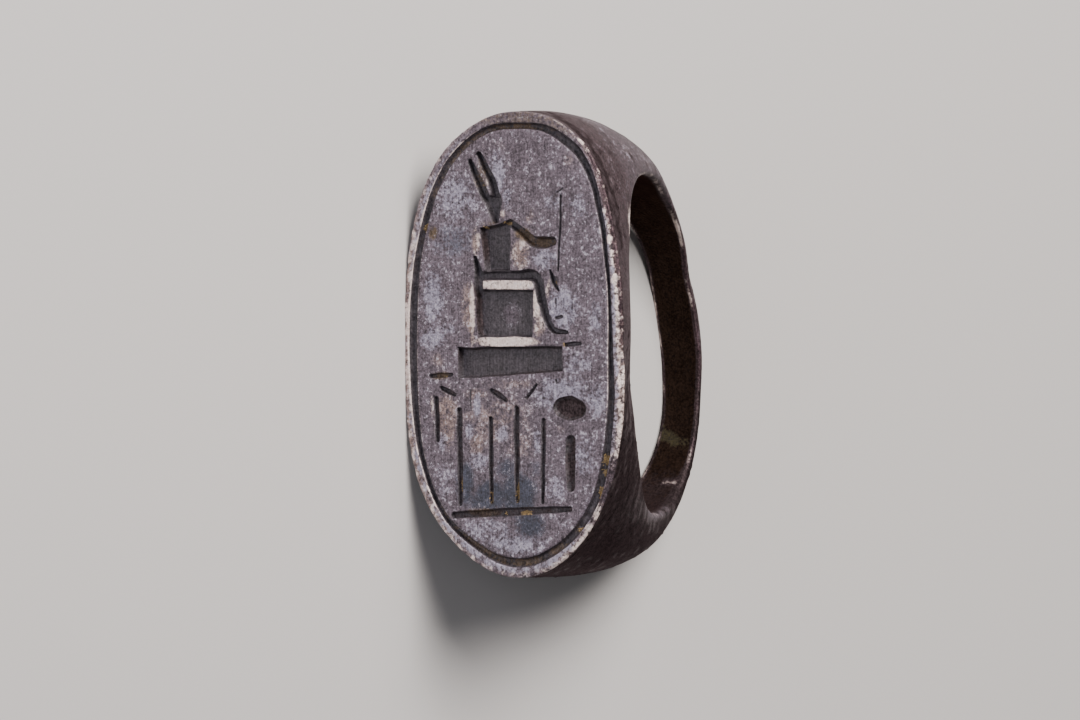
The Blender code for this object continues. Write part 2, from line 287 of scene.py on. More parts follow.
def end_tree(tree: Tree, geometry: Socket, finish: Socket) -> None:
    """Ends a tree in real geometry that has its finish.

    Args:
        tree: The tree.
        geometry: What it has made.
        finish: The material's input.
    """
    real = add_node(tree, "GeometryNodeRealizeInstances", {0: geometry})[0]
    dressed = add_node(tree, "GeometryNodeSetMaterial", {"Geometry": real, "Material": finish})[0]
    add_node(tree, "NodeGroupOutput", {0: dressed})


# Form of the casting


@dataclass(frozen=True)
class RingForm:
    """Outer form of the ring: the oval bezel, its shoulders, the hoop and the finger hole."""

    face_half_width: float = 7.54
    length_powers: Pair = (2.3, 2.45)
    width_powers: Pair = (2.3, 2.0)
    near_shifts: tuple[Pair, ...] = (
        (-14.06, 0.38), (-12.4, 0.36), (-10.0, 0.28), (-6.3, 0.16), (-3.3, 0.07), (-0.3, -0.08),
        (5.6, -0.08), (8.5, 0.02), (10.4, 0.26), (12.0, 0.43), (13.3, 0.34), (14.06, 0.3),
    )
    far_shifts: tuple[Pair, ...] = (
        (-14.06, 0.38), (-13.3, 0.38), (-12.1, 0.22), (-10.9, 0.0), (-8.7, -0.17), (-6.7, -0.15),
        (-4.8, -0.05), (-1.8, 0.03), (1.2, 0.0), (4.2, -0.05), (7.1, -0.14), (9.5, -0.19),
        (11.2, -0.13), (12.4, 0.05), (13.5, 0.27), (14.06, 0.3),
    )
    shift_depth: float = 2.5
    draw_in: float = 0.75
    draw_depth: float = 2.0
    ridge_half_length: float = 14.06
    ridge_centre: float = 2.6
    ring_depth: float = 22.0
    ridge_powers: Pair = (2.08, 2.8)
    hole_reach: float = 10.25
    hole_centre: float = 10.6
    hole_front: float = 2.8
    hole_back: float = 20.6
    hole_lean: float = -0.135
    hole_powers: Pair = (2.0, 2.38)
    band_back: float = 1.3
    band_front: float = 9.0
    band_taper: float = 1.6
    band_taper_end: float = 21.0
    lip_release: float = 2.0
    lip_depth: float = 0.9
    edge_sharpness: float = 7.0
    fullness_ends: Pair = (1.8, 2.8)
    fullness_back: float = 1.7
    shoulder_depth: float = 8.0
    shoulder_fullness: float = 2.2
    shoulder_power: float = 1.5
    shoulder_least: float = 0.05
    hoop_spread: float = 9.0
    rest_tilt: float = math.radians(16.6)
    laid_at: Triple = (-0.0026, -9.487, 7.171)
    measure_steps: int = 6000

    def laid_down(self, points: Array) -> Array:
        """Turns the ring's own places into the frame's.

        Args:
            points: Rows of (across, along, depth) in mm.

        Returns:
            Rows of x, y and z in metres.
        """
        across, along, depth = points.T
        back = depth * math.cos(self.rest_tilt) + across * math.sin(self.rest_tilt)
        up = across * math.cos(self.rest_tilt) - depth * math.sin(self.rest_tilt)
        return (np.stack([-along, back, up], axis=1) + np.array(self.laid_at)) * MM

    def direction(self, across: float, along: float, depth: float) -> Vector:
        """A direction of the ring as a direction of the frame."""
        point = self.laid_down(np.array([[across, along, depth], [0.0, 0.0, 0.0]]))
        return Vector(point[0] - point[1]).normalized()

    def side_shift(self, along: Array, depth: Array, side: Array | float) -> Array:
        """How far across from a true oval a point of one side lies, which fades behind the face."""
        near, far = (np.interp(along, *zip(*shifts)) for shifts in (self.near_shifts, self.far_shifts))
        return np.where(np.asarray(side) > 0, near, far) * np.exp(-depth / self.shift_depth)

    def ridge_reach(self, depth: Array, along: Array) -> Array:
        """How far along the ridge reaches at a depth.

        Args:
            depth: Depth behind the face.
            along: Its sign says which end the point is at.

        Returns:
            The reach of each point's end.
        """
        rise = np.clip(np.abs(depth - self.ridge_centre) / (self.ring_depth - self.ridge_centre), 0, 1)
        head, foot = ((1 - rise**power) ** (1 / power) for power in self.ridge_powers)
        return self.ridge_half_length * np.where(along >= 0, head, foot)

    def oval_share(self, along: Array, reach: Array) -> Array:
        """Half-width of an oval of the bezel's kind, as a share of its widest.

        Args:
            along: Place along the oval.
            reach: How far along the oval ends.

        Returns:
            The share at each point, 0 past the end.
        """
        share = np.abs(along) / np.maximum(reach, 1e-9)
        powers = zip(self.length_powers, self.width_powers)
        return np.where(along >= 0, *(np.maximum(1 - share**long, 0) ** (1 / wide) for long, wide in powers))

    def narrowed(self, depth: Array) -> Array:
        """Half-width of the widest place of the bezel's wall at a depth."""
        return self.face_half_width - self.draw_in * (1 - np.exp(-depth / self.draw_depth))

    def band_half_width(self, depth: Array) -> Array:
        """Half-width that the taper from bezel to hoop allows.

        Args:
            depth: Depth behind the face.

        Returns:
            The half-width at each depth.
        """
        left = np.clip(1 - depth / self.band_taper_end, 0, 1)
        taper = self.band_back + (self.band_front - self.band_back) * left**self.band_taper
        return taper * (1 + self.lip_release * np.exp(-depth / self.lip_depth))

    def fullness(self, along: Array, depth: Array) -> Array:
        """Squareness of the section that ends at a point of the ridge.

        Args:
            along: Place of the point along the ring.
            depth: Its depth behind the face.

        Returns:
            The power of each section's curve, which is 2 for an ellipse and more for a squarer one.
        """
        share = np.clip(np.abs(along) / self.hoop_spread, 0, 1)
        side = np.where(along >= 0, *self.fullness_ends)
        hoop = self.fullness_back + (side - self.fullness_back) * share
        shoulder = np.clip(depth / self.shoulder_depth, self.shoulder_least, 1)
        full = np.where(shoulder < 1, np.maximum(hoop, self.shoulder_fullness), hoop)
        return full / shoulder**self.shoulder_power

    def half_width(self, along: Array, depth: Array, out: Array, square: Array) -> Array:
        """Half-width of the ring, before its swells and the shift of its side.

        Args:
            along: Place along the ring.
            depth: Depth behind the face.
            out: Share of the way from the finger hole to the ridge.
            square: Squareness of the section there.

        Returns:
            The half-width at each point.
        """
        crown = np.sqrt(np.maximum(1 - out**square, 1e-12))
        oval = self.narrowed(depth) * self.oval_share(along, self.ridge_reach(depth, along))
        return soft_least(self.band_half_width(depth) * crown, oval, self.edge_sharpness)

    def hole_point(self, along: Array, depth: Array) -> tuple[Array, Array]:
        """The point of the finger hole's edge in the direction of a point outside it.

        Args:
            along: Place of the outer point along the ring.
            depth: Its depth behind the face.

        Returns:
            The edge point's place along the ring and its depth.
        """
        lean = depth - self.hole_centre - self.hole_lean * along
        half = np.where(lean < 0, self.hole_centre - self.hole_front, self.hole_back - self.hole_centre)
        power = np.where(lean < 0, *self.hole_powers)
        size = (np.abs(along / self.hole_reach) ** power + np.abs(lean / half) ** power) ** (1 / power)
        return along / size, self.hole_centre + (depth - self.hole_centre) / size

    def outline(self, turn: Array, depth: Array) -> tuple[Array, Array]:
        """Half of the bezel's outline at a depth.

        Args:
            turn: From 0 at the head tip to pi at the foot tip.
            depth: Depth behind the face, for each point.

        Returns:
            How far across and along each point is, before the side's shift.
        """
        head = turn <= math.pi / 2
        side = np.where(head, 1.0, -1.0)
        reach = self.ridge_reach(depth, side)
        along = side * reach * np.abs(np.cos(turn)) ** (2 / np.where(head, *self.length_powers))
        wide = self.narrowed(depth) * np.abs(np.sin(turn)) ** (2 / np.where(head, *self.width_powers))
        across = soft_least(wide, self.band_half_width(depth), self.edge_sharpness)
        return np.where(wide < 1e-4, 0.0, across), along

    def even_turns(self, steps: int) -> Array:
        """Turns whose points are evenly spaced on the face's outline.

        Args:
            steps: How many steps there are from the head tip to the foot tip.

        Returns:
            The turns, from 0 to pi.
        """
        fine = np.linspace(0, math.pi, self.measure_steps + 1)
        across, along = self.outline(fine, np.zeros(len(fine)))
        length = np.concatenate([[0], np.cumsum(np.hypot(np.diff(across), np.diff(along)))])
        return np.interp(np.linspace(0, length[-1], steps + 1), length, fine)

    def ridge_line(self, start_depth: float, steps: int) -> Array:
        """Evenly spaced points (along, depth) of the ridge, from the foot tip round to the head tip.

        Args:
            start_depth: Depth of the two tips, which are left out.
            steps: How many points.

        Returns:
            The points between the tips.
        """
        branches = []
        reach = self.ring_depth - self.ridge_centre
        rise = (self.ridge_centre - start_depth) / reach
        for end, power in zip((End.FOOT, End.HEAD), self.ridge_powers[::-1]):
            turn = np.linspace(-math.asin(rise ** (power / 2)), math.pi / 2, self.measure_steps // 2 + 1)
            along = end.value * self.ridge_half_length * np.abs(np.cos(turn)) ** (2 / power)
            deep = self.ridge_centre + reach * signed_power(np.sin(turn), 2 / power)
            branches.append(np.stack([along, deep], axis=1))
        line = np.concatenate([branches[0], branches[1][-2::-1]])
        length = np.concatenate([[0], np.cumsum(np.linalg.norm(np.diff(line, axis=0), axis=1))])
        spots = np.linspace(0, length[-1], steps + 2)[1:-1]
        return np.stack([np.interp(spots, length, line[:, 0]), np.interp(spots, length, line[:, 1])], axis=1)


# Carving


@dataclass(frozen=True)
class Block:
    """A sunk block with straight sides, sloping walls and a nearly flat floor."""

    corners: tuple[Pair, ...]
    depth: float = 0.5
    wall: float = 0.15
    wall_power: float = 1.7

    def inside(self, spots: Array) -> Array:
        """How far inside the block's edge each spot is.

        Args:
            spots: Places (across, along).

        Returns:
            The distance to the edge, below 0 outside it.
        """
        corners = np.array(self.corners)
        step = np.roll(corners, -1, axis=0) - corners
        gap = np.full(len(spots), np.inf)
        crossings = np.zeros(len(spots), int)
        for start, edge in zip(corners, step):
            offset = spots - start
            share = np.clip(offset @ edge / (edge @ edge), 0, 1)
            gap = np.minimum(gap, np.linalg.norm(offset - share[:, None] * edge, axis=1))
            crosses = (start[1] > spots[:, 1]) != (start[1] + edge[1] > spots[:, 1])
            meets = start[0] + edge[0] * (spots[:, 1] - start[1]) / (edge[1] if edge[1] else 1e-9)
            crossings += crosses & (spots[:, 0] < meets)
        return np.where(crossings % 2 == 1, gap, -gap)

    def depth_at(self, spots: Array) -> Array:
        """Depth of the block at each spot."""
        share = np.clip(self.inside(spots) / self.wall, 0, 1)
        return self.depth * (1 - (1 - share) ** self.wall_power)

    def edge_points(self, spacing: float) -> Array:
        """Points that the mesh needs on the block's sharp lines.

        Args:
            spacing: Distance between them.

        Returns:
            Places (across, along) on the lip and the foot of the wall.
        """
        corners = np.array(self.corners)
        before = corners - np.roll(corners, 1, axis=0)
        after = np.roll(corners, -1, axis=0) - corners
        before /= np.linalg.norm(before, axis=1)[:, None]
        after /= np.linalg.norm(after, axis=1)[:, None]
        turn = before[:, 0] * after[:, 1] - before[:, 1] * after[:, 0]
        both = before + after
        normal = np.stack([-both[:, 1], both[:, 0]], axis=1) * np.sign(turn.sum())
        rows = []
        for inset in (0.0, self.wall):
            moved = corners + inset * 2 * normal / (both**2).sum(axis=1)[:, None]
            for first, second in zip(moved, np.roll(moved, -1, axis=0)):
                count = max(2, int(np.linalg.norm(second - first) / spacing))
                rows.append(first + (second - first) * np.linspace(0, 1, count, endpoint=False)[:, None])
        return np.concatenate(rows)


@dataclass(frozen=True)
class Stroke:
    """A cut along a path, with rounded ends and a rounded floor."""

    path: tuple[Pair, ...]
    half_widths: Row
    depth: float = 0.3
    floor_share: float = 0.45
    bend_steps: int = 6

    def line(self) -> tuple[Array, Array]:
        """Bends the path smoothly through its points.

        Returns:
            Places along the path, and the half-width at each.
        """
        path = np.array(self.path)
        half = np.array(self.half_widths)
        if len(path) < 3:
            return path, half
        ends = np.vstack([2 * path[0] - path[1], path, 2 * path[-1] - path[-2]])
        share = np.linspace(0, 1, self.bend_steps + 1)[:-1, None]
        rows, wide = [], []
        for index in range(1, len(path)):
            a, b, c, d = ends[index - 1 : index + 3]
            bend = 2 * a - 5 * b + 4 * c - d + share * (3 * (b - c) + d - a)
            rows.append(b + 0.5 * share * (c - a + share * bend))
            wide.append(half[index - 1] + share[:, 0] * (half[index] - half[index - 1]))
        return np.vstack([*rows, path[-1:]]), np.concatenate([*wide, half[-1:]])

    def near(self, spots: Array) -> tuple[Array, Array]:
        """Finds the part of the path that each spot lies deepest in.

        Args:
            spots: Places (across, along).

        Returns:
            Each spot's distance to the path's middle there, and the half-width there.
        """
        path, half = self.line()
        best = np.full(len(spots), -np.inf)
        gap_there = np.zeros(len(spots))
        wide_there = np.ones(len(spots))
        for index, step in enumerate(np.diff(path, axis=0)):
            offset = spots - path[index]
            share = np.clip(offset @ step / (step @ step), 0, 1)
            gap = np.linalg.norm(offset - share[:, None] * step, axis=1)
            wide = half[index] + share * (half[index + 1] - half[index])
            nearer = wide - gap > best
            best = np.where(nearer, wide - gap, best)
            gap_there = np.where(nearer, gap, gap_there)
            wide_there = np.where(nearer, wide, wide_there)
        return gap_there, wide_there

    def inside(self, spots: Array) -> Array:
        """How far inside the stroke's edge each spot is, below 0 outside it."""
        gap, wide = self.near(spots)
        return wide - gap

    def depth_at(self, spots: Array) -> Array:
        """Depth of the stroke.

        Args:
            spots: Places (across, along) inside the stroke.

        Returns:
            The depth at each spot.
        """
        gap, wide = self.near(spots)
        share = np.clip((1 - gap / wide) / (1 - self.floor_share), 0, 1)
        return self.depth * np.sin(share * math.pi / 2)

    def edge_points(self, spacing: float) -> Array:
        """Points that the mesh needs along the stroke.

        Args:
            spacing: Distance between them.

        Returns:
            Places (across, along) on the two lips, the floor's two sides, the middle and the ends.
        """
        path, half = self.line()
        length = np.concatenate([[0], np.cumsum(np.linalg.norm(np.diff(path, axis=0), axis=1))])
        spots = np.linspace(0, length[-1], max(3, int(length[-1] / spacing)))
        middle = np.stack([np.interp(spots, length, path[:, axis]) for axis in (0, 1)], axis=1)
        wide = np.interp(spots, length, half)
        flow = np.gradient(middle, axis=0)
        flow /= np.linalg.norm(flow, axis=1)[:, None]
        beside = np.stack([-flow[:, 1], flow[:, 0]], axis=1) * wide[:, None]
        rows = [middle + share * beside for share in (-1.0, -self.floor_share, 0.0, self.floor_share, 1.0)]
        for tip, away, size in ((middle[0], -flow[0], wide[0]), (middle[-1], flow[-1], wide[-1])):
            bend = np.linspace(-math.pi / 2, math.pi / 2, max(4, int(size * math.pi / spacing)))
            side = np.array([-away[1], away[0]])
            rows.append(tip + size * (np.cos(bend)[:, None] * away + np.sin(bend)[:, None] * side))
        return np.concatenate(rows)


@dataclass(frozen=True)
class Carving:
    """A seated figure with two tall plumes, over rows of plain strokes that stand for writing."""

    # Head, trunk, seat and the long base under it.
    figure_blocks: tuple[Block, ...] = (
        Block(((-2.25, 8.95), (-0.85, 9.0), (-0.75, 8.5), (-1.0, 7.3), (-1.42, 7.2), (-1.75, 8.05))),
        Block(((-2.3, 7.0), (-0.85, 7.25), (-0.15, 7.5), (-0.2, 4.35), (-1.9, 4.35), (-2.15, 6.1))),
        Block(((-2.6, 3.3), (1.4, 3.25), (1.35, 0.42), (-2.42, 0.42))),
        Block(((-3.85, -0.2), (3.42, -0.12), (3.45, -1.65), (-3.78, -2.1))),
    )
    # Two plumes, arm held out, thigh to knee, shin with foot, small of the back, and two thin cuts in front.
    figure_limbs: tuple[Stroke, ...] = (
        Stroke(((-2.36, 11.4), (-1.93, 10.64), (-1.5, 9.86), (-1.2, 8.95)), (0.2, 0.27, 0.29, 0.34), 0.44),
        Stroke(((-2.97, 11.0), (-2.55, 10.16), (-2.24, 9.55), (-1.85, 8.75)), (0.17, 0.26, 0.3, 0.32), 0.42),
        Stroke(
            ((-0.15, 7.25), (0.6, 6.76), (1.4, 6.16), (2.15, 6.08), (2.75, 6.18)),
            (0.24, 0.28, 0.34, 0.37, 0.28), 0.47,
        ),
        Stroke(
            ((-2.1, 4.1), (0.3, 4.12), (1.2, 4.14), (1.72, 3.75), (1.98, 2.6)),
            (0.3, 0.3, 0.35, 0.36, 0.33), 0.46,
        ),
        Stroke(
            ((1.88, 2.95), (2.03, 2.55), (2.4, 1.42), (2.85, 0.83), (3.75, 0.68)),
            (0.3, 0.31, 0.27, 0.22, 0.1), 0.41,
        ),
        Stroke(((-2.62, 5.2), (-2.38, 4.3), (-2.36, 3.2)), (0.12, 0.3, 0.33), 0.43),
        Stroke(((3.3, 8.9), (3.25, 7.0), (3.08, 4.4)), (0.08, 0.09, 0.07), 0.19),
        Stroke(((2.58, 4.42), (2.8, 3.8), (3.12, 3.25)), (0.08, 0.23, 0.08), 0.33),
    )
    stroke_depth: float = 0.24
    # Across, top, bottom, half-width and how far across the foot leans.
    tall_strokes: tuple[Row, ...] = (
        (-3.68, -4.0, -9.6, 0.2, 0.06), (-1.52, -4.5, -9.5, 0.17, 0.04), (0.26, -3.9, -9.4, 0.19, 0.04),
        (2.12, -4.6, -9.5, 0.16, -0.04), (3.96, -5.8, -8.6, 0.34, 0.04), (-5.28, -3.3, -5.8, 0.18, 0.1),
    )
    # Middle (across and along), length, turn in degrees and half-width.
    cross_strokes: tuple[Row, ...] = (
        (-4.45, -2.85, 1.0, -25, 0.17), (-0.95, -3.1, 1.1, -28, 0.2), (1.3, -2.85, 1.1, 50, 0.12),
        (3.95, -3.85, 1.1, -4, 0.76), (-4.95, -1.9, 1.4, 5, 0.17), (4.15, -0.02, 1.0, 3, 0.15),
        (-0.05, -10.1, 8.0, 2.8, 0.26),
    )
    # Shares of the half-width at the start, middle and end of a stroke.
    tall_narrowing: Triple = (1.0, 1.0, 0.8)
    cross_narrowing: Triple = (0.8, 1.0, 0.7)
    nicks: tuple[Stroke, ...] = (
        Stroke(((3.0, 1.58), (3.35, 1.66)), (0.1, 0.12), 0.14),
        Stroke(((-2.95, -2.75), (-2.9, -3.9)), (0.05, 0.03), 0.06),
        Stroke(((3.05, 9.1), (3.45, 9.35)), (0.05, 0.05), 0.1),
        Stroke(((2.98, 2.7), (3.0, 2.2)), (0.05, 0.03), 0.1),
        Stroke(((3.0, -2.2), (3.05, -2.35)), (0.09, 0.06), 0.08),
    )
    hand_wander: float = 0.016
    wander_size: float = 1.6
    floor_wander: float = 0.012
    floor_size: float = 1.1
    floor_depths: Pair = (0.1, 0.3)

    def strokes(self) -> tuple[Stroke, ...]:
        """Works out the strokes under the figure.

        Returns:
            The tall strokes, then the ones that run across.
        """
        made = []
        for across, top, bottom, half, lean in self.tall_strokes:
            path = ((across, top), (across + lean / 2, (top + bottom) / 2), (across + lean, bottom))
            wide = tuple(half * share for share in self.tall_narrowing)
            made.append(Stroke(path, wide, self.stroke_depth))
        for across, along, length, turn, half in self.cross_strokes:
            angle = math.radians(turn)
            far = (math.cos(angle) * length / 2, math.sin(angle) * length / 2)
            path = ((across - far[0], along - far[1]), (across, along), (across + far[0], along + far[1]))
            wide = tuple(half * share for share in self.cross_narrowing)
            made.append(Stroke(path, wide, self.stroke_depth))
        return tuple(made)

    def cuts(self) -> tuple[Block | Stroke, ...]:
        """Every cut in the face."""
        return (*self.figure_blocks, *self.figure_limbs, *self.strokes(), *self.nicks)

    def wandered(self, spots: Array) -> Array:
        """Spots moved a little, so that every cut has the uneven line of handwork."""
        side, up = (ripple(spots, self.wander_size, SEED + seed) for seed in (1, 2))
        return spots + self.hand_wander * np.stack([side, up], axis=1)

    def survey(self, spots: Array) -> tuple[Array, Array]:
        """Depth of the carving, and how far inside the nearest cut, at each spot.

        Args:
            spots: Places (across, along) on the face.

        Returns:
            The depth, and the distance inside the nearest cut's edge, below 0 outside every cut.
        """
        moved = self.wandered(spots)
        depth = np.zeros(len(spots))
        inside = np.full(len(spots), -np.inf)
        for cut in self.cuts():
            here = cut.inside(moved)
            inside = np.maximum(inside, here)
            within = here > 0
            depth[within] = np.maximum(depth[within], cut.depth_at(moved[within]))
        uneven = self.floor_wander * ripple(spots, self.floor_size, SEED + 3)
        uneven = uneven * smooth_step(*self.floor_depths, depth)
        return depth + uneven, inside


# Where the finish changes


@dataclass(frozen=True)
class Patches:
    """Soft oval patches of one finish: (across, along, half across, half along, strength)."""

    ovals: tuple[Row, ...]
    fall: float = 1.5

    def at(self, spots: Array) -> Array:
        """Strength of the patches.

        Args:
            spots: Places (across, along).

        Returns:
            The strongest patch's strength at each spot.
        """
        ovals = np.array(self.ovals).T
        reach = ((spots[:, :1] - ovals[0]) / ovals[2]) ** 2 + ((spots[:, 1:2] - ovals[1]) / ovals[3]) ** 2
        return (ovals[4] * np.exp(-(reach**self.fall))).max(axis=1)


@dataclass(frozen=True)
class FaceFinish:
    """Where the seal face is rubbed bare, clouded, stained or still holds earth, and where painted shade
    darkens some cut walls and hollows.
    """

    bare: Patches = Patches((
        (-0.3, 3.57, 2.1, 0.36, 1.35), (1.65, 2.4, 0.28, 1.2, 1.15), (1.85, 1.05, 0.5, 0.7, 0.9),
        (-0.45, 0.14, 2.4, 0.34, 1.35), (-2.82, 1.7, 0.25, 2.0, 1.15), (0.55, 5.5, 0.75, 1.2, 0.85),
        (-2.55, 6.2, 0.35, 0.9, 1.0), (-1.75, 9.85, 0.14, 0.4, 0.8), (1.15, 8.0, 0.6, 0.45, 0.35),
        (-0.7, 7.8, 0.3, 0.35, 0.65), (0.0, -2.4, 3.2, 0.26, 0.45), (-5.6, -3.6, 0.16, 1.1, 0.6),
        (2.45, 3.3, 0.2, 0.8, 0.7),
    ))
    bloom: Patches = Patches((
        (-3.9, 8.8, 1.6, 1.6, 0.8), (-1.1, 10.2, 0.65, 1.6, 0.95), (-0.4, 8.9, 0.5, 0.7, 0.8),
        (-4.3, 6.2, 1.7, 1.3, 0.7), (-5.5, 3.0, 0.8, 1.9, 1.0), (-5.6, 0.3, 1.1, 0.8, 0.9),
        (-4.6, 0.9, 0.7, 0.4, 0.7), (2.3, 5.1, 1.0, 0.75, 0.95), (3.4, 2.1, 1.2, 1.4, 1.0),
        (5.7, 1.6, 0.5, 1.1, 0.85), (2.9, 8.5, 0.9, 0.8, 0.65), (4.4, 8.2, 1.0, 1.1, 0.6),
        (4.4, -1.2, 1.3, 0.8, 0.7), (3.4, -2.9, 2.0, 1.2, 0.95), (5.7, -3.4, 0.8, 1.2, 0.85),
        (4.9, -6.9, 1.1, 1.6, 0.7), (-2.45, -3.7, 0.3, 0.9, 0.95), (-3.0, -5.2, 0.35, 0.6, 0.95),
        (-0.7, -5.4, 0.5, 0.6, 0.95), (-2.4, -7.0, 0.9, 0.6, 0.85), (-4.8, -8.3, 0.9, 1.6, 0.42),
        (-1.4, -11.3, 2.8, 1.0, 0.62), (3.0, -8.8, 0.8, 1.2, 0.6), (1.7, -5.8, 0.35, 1.0, 0.8),
        (-4.9, -5.9, 0.4, 0.7, 0.8), (0.2, -11.9, 2.4, 0.9, 0.85),
    ))
    warm: Patches = Patches((
        (-4.6, -4.5, 1.1, 2.2, 1.0), (0.5, -6.0, 1.6, 1.2, 0.7), (-2.5, -3.0, 1.2, 0.5, 0.8),
        (0.0, -2.4, 3.2, 0.4, 0.7), (-5.2, -1.0, 0.6, 0.8, 0.7), (3.5, -5.0, 1.0, 0.6, 0.6),
        (-1.0, 11.9, 2.4, 0.5, 0.5), (-1.2, -4.6, 3.2, 2.2, 0.75), (-2.4, -6.1, 0.8, 1.1, 0.9),
        (-3.1, 2.2, 0.6, 2.2, 0.9), (1.2, 7.7, 0.5, 0.6, 0.8), (3.9, 11.0, 0.6, 0.8, 0.6),
    ))
    stain: Patches = Patches((
        (0.4, -9.1, 1.3, 1.4, 1.35), (-3.3, -8.4, 0.7, 1.5, 1.1), (-1.5, -9.1, 1.3, 1.0, 1.2),
        (-0.5, -7.5, 0.9, 0.8, 0.75), (1.2, -10.9, 1.2, 0.9, 1.05), (1.5, -7.6, 1.1, 0.7, 0.5),
        (-2.4, -9.4, 0.9, 0.6, 0.9), (-4.1, 6.2, 1.6, 1.1, 0.6), (3.95, -3.85, 1.0, 0.75, 0.95),
    ))
    brown: Patches = Patches((
        (-5.5, 6.7, 0.4, 0.55, 1.0), (0.7, 6.6, 0.7, 0.5, 1.0), (1.9, 6.1, 1.0, 0.35, 1.1),
        (-2.2, 10.1, 0.7, 1.3, 0.6), (-1.6, 7.2, 0.8, 0.3, 0.6), (1.0, -6.5, 0.7, 0.6, 0.25),
        (2.6, -5.0, 0.5, 0.6, 0.3), (-2.0, -10.15, 1.6, 0.3, 0.9), (-5.0, -1.9, 0.8, 0.35, 0.8),
    ))
    earth: Patches = Patches((
        (-6.15, 6.95, 0.16, 0.3, 1.0), (-1.95, 7.0, 0.2, 0.15, 0.8), (-0.5, 7.25, 0.3, 0.18, 0.7),
        (-2.2, 9.5, 0.15, 0.2, 0.6), (2.85, 3.75, 0.1, 0.2, 1.0), (0.3, -8.8, 0.14, 0.8, 1.0),
        (-1.5, -9.2, 0.09, 0.6, 0.8), (-3.62, -8.6, 0.09, 0.8, 0.7), (0.85, -10.15, 0.5, 0.18, 1.0),
        (-0.6, -10.2, 0.3, 0.15, 0.5), (6.35, -6.9, 0.3, 0.45, 1.1), (6.25, -7.7, 0.24, 0.3, 0.9),
        (6.0, -8.9, 0.3, 0.4, 1.05), (-4.6, -1.9, 0.5, 0.12, 0.5), (3.5, -0.05, 0.15, 0.1, 0.8),
        (4.5, -11.1, 0.2, 0.2, 0.8),
    ))
    # The throne's floor is less dark in its middle.
    throne_floor_lighter_middle: Patches = Patches(((-0.35, 1.75, 0.75, 0.95, 0.6),))
    # Painted shade on the walls of the seat, the trunk, the base and the two wide hollows below it.
    wall_shade: Patches = Patches((
        (-2.35, 1.9, 0.5, 2.1, 0.9), (-2.0, 6.0, 0.5, 1.4, 0.9), (-0.2, -1.0, 4.6, 1.3, 0.8),
        (3.95, -3.85, 1.4, 1.1, 0.8), (4.0, -7.1, 0.6, 2.4, 0.6),
    ))
    # Painted shade over the oval hollow and the long dash.
    hollow_shade: Patches = Patches(((3.95, -3.85, 1.5, 1.2, 1.05), (4.0, -7.1, 0.7, 2.3, 0.8)))
    bloom_everywhere: float = 0.2
    stroke_brown: float = 0.5
    stroke_soot: float = 0.45
    bare_least: float = 0.35
    bare_reach: float = 0.42
    lip_reach: float = 0.07
    lip_bareness: float = 0.3
    wall_reach: float = 0.22
    patch_size: float = 0.9
    # Where a change starts and is full: by depth, by distance inside a cut, and along the face, in mm.
    sunk_depths: Pair = (0.05, 0.26)
    cut_edge: Pair = (-0.05, 0.04)
    wall_edge: Pair = (-0.04, 0.02)
    below_base: Pair = (-2.2, -3.0)

    def marks(self, spots: Array, depth: Array, inside: Array) -> Marks:
        """Marks of the face at each spot.

        Args:
            spots: Places (across, along) on the face.
            depth: How far the carving is sunk there.
            inside: How far inside the nearest cut each spot is.

        Returns:
            The marks by kind.
        """
        level = 1 - smooth_step(*self.sunk_depths, depth)
        sunk = np.maximum(1 - level, smooth_step(*self.cut_edge, inside))
        strokes = (1 - level) * smooth_step(*self.below_base, spots[:, 1])
        beside = bell(np.minimum(inside, 0), 0, self.bare_reach)
        patchy = smooth_step(-0.3, 0.9, ripple(spots, self.patch_size, SEED + 10))
        lip = self.lip_bareness * patchy * bell(inside, 0, self.lip_reach)
        # Painted shade on the walls of some cuts.
        wall = self.wall_shade.at(spots) * smooth_step(*self.wall_edge, inside)
        wall = wall * bell(inside, 0, self.wall_reach)
        bare, stain = self.bare.at(spots), self.stain.at(spots)
        return {
            Mark.CUT: sunk * (1 - self.throne_floor_lighter_middle.at(spots)),
            Mark.BARE_AND_HIGHLIGHT: np.maximum(bare * (self.bare_least + (1 - self.bare_least) * beside), lip) * level,
            Mark.BLOOM: np.maximum(self.bloom.at(spots), self.bloom_everywhere) * level,
            Mark.WARM: np.maximum(0.7 * self.warm.at(spots), 0.9 * bare) * level,
            Mark.STAIN: stain,
            Mark.BROWN: np.maximum(self.brown.at(spots), self.stroke_brown * strokes * (1 - stain)),
            # Dark strokes below the base, with painted shade in the wide hollows and on some cut walls.
            Mark.SOOT_AND_SHADE: np.maximum(np.maximum(self.stroke_soot, self.hollow_shade.at(spots)) * strokes, wall),
            Mark.EARTH: self.earth.at(spots),
        }


# Mesh of the casting


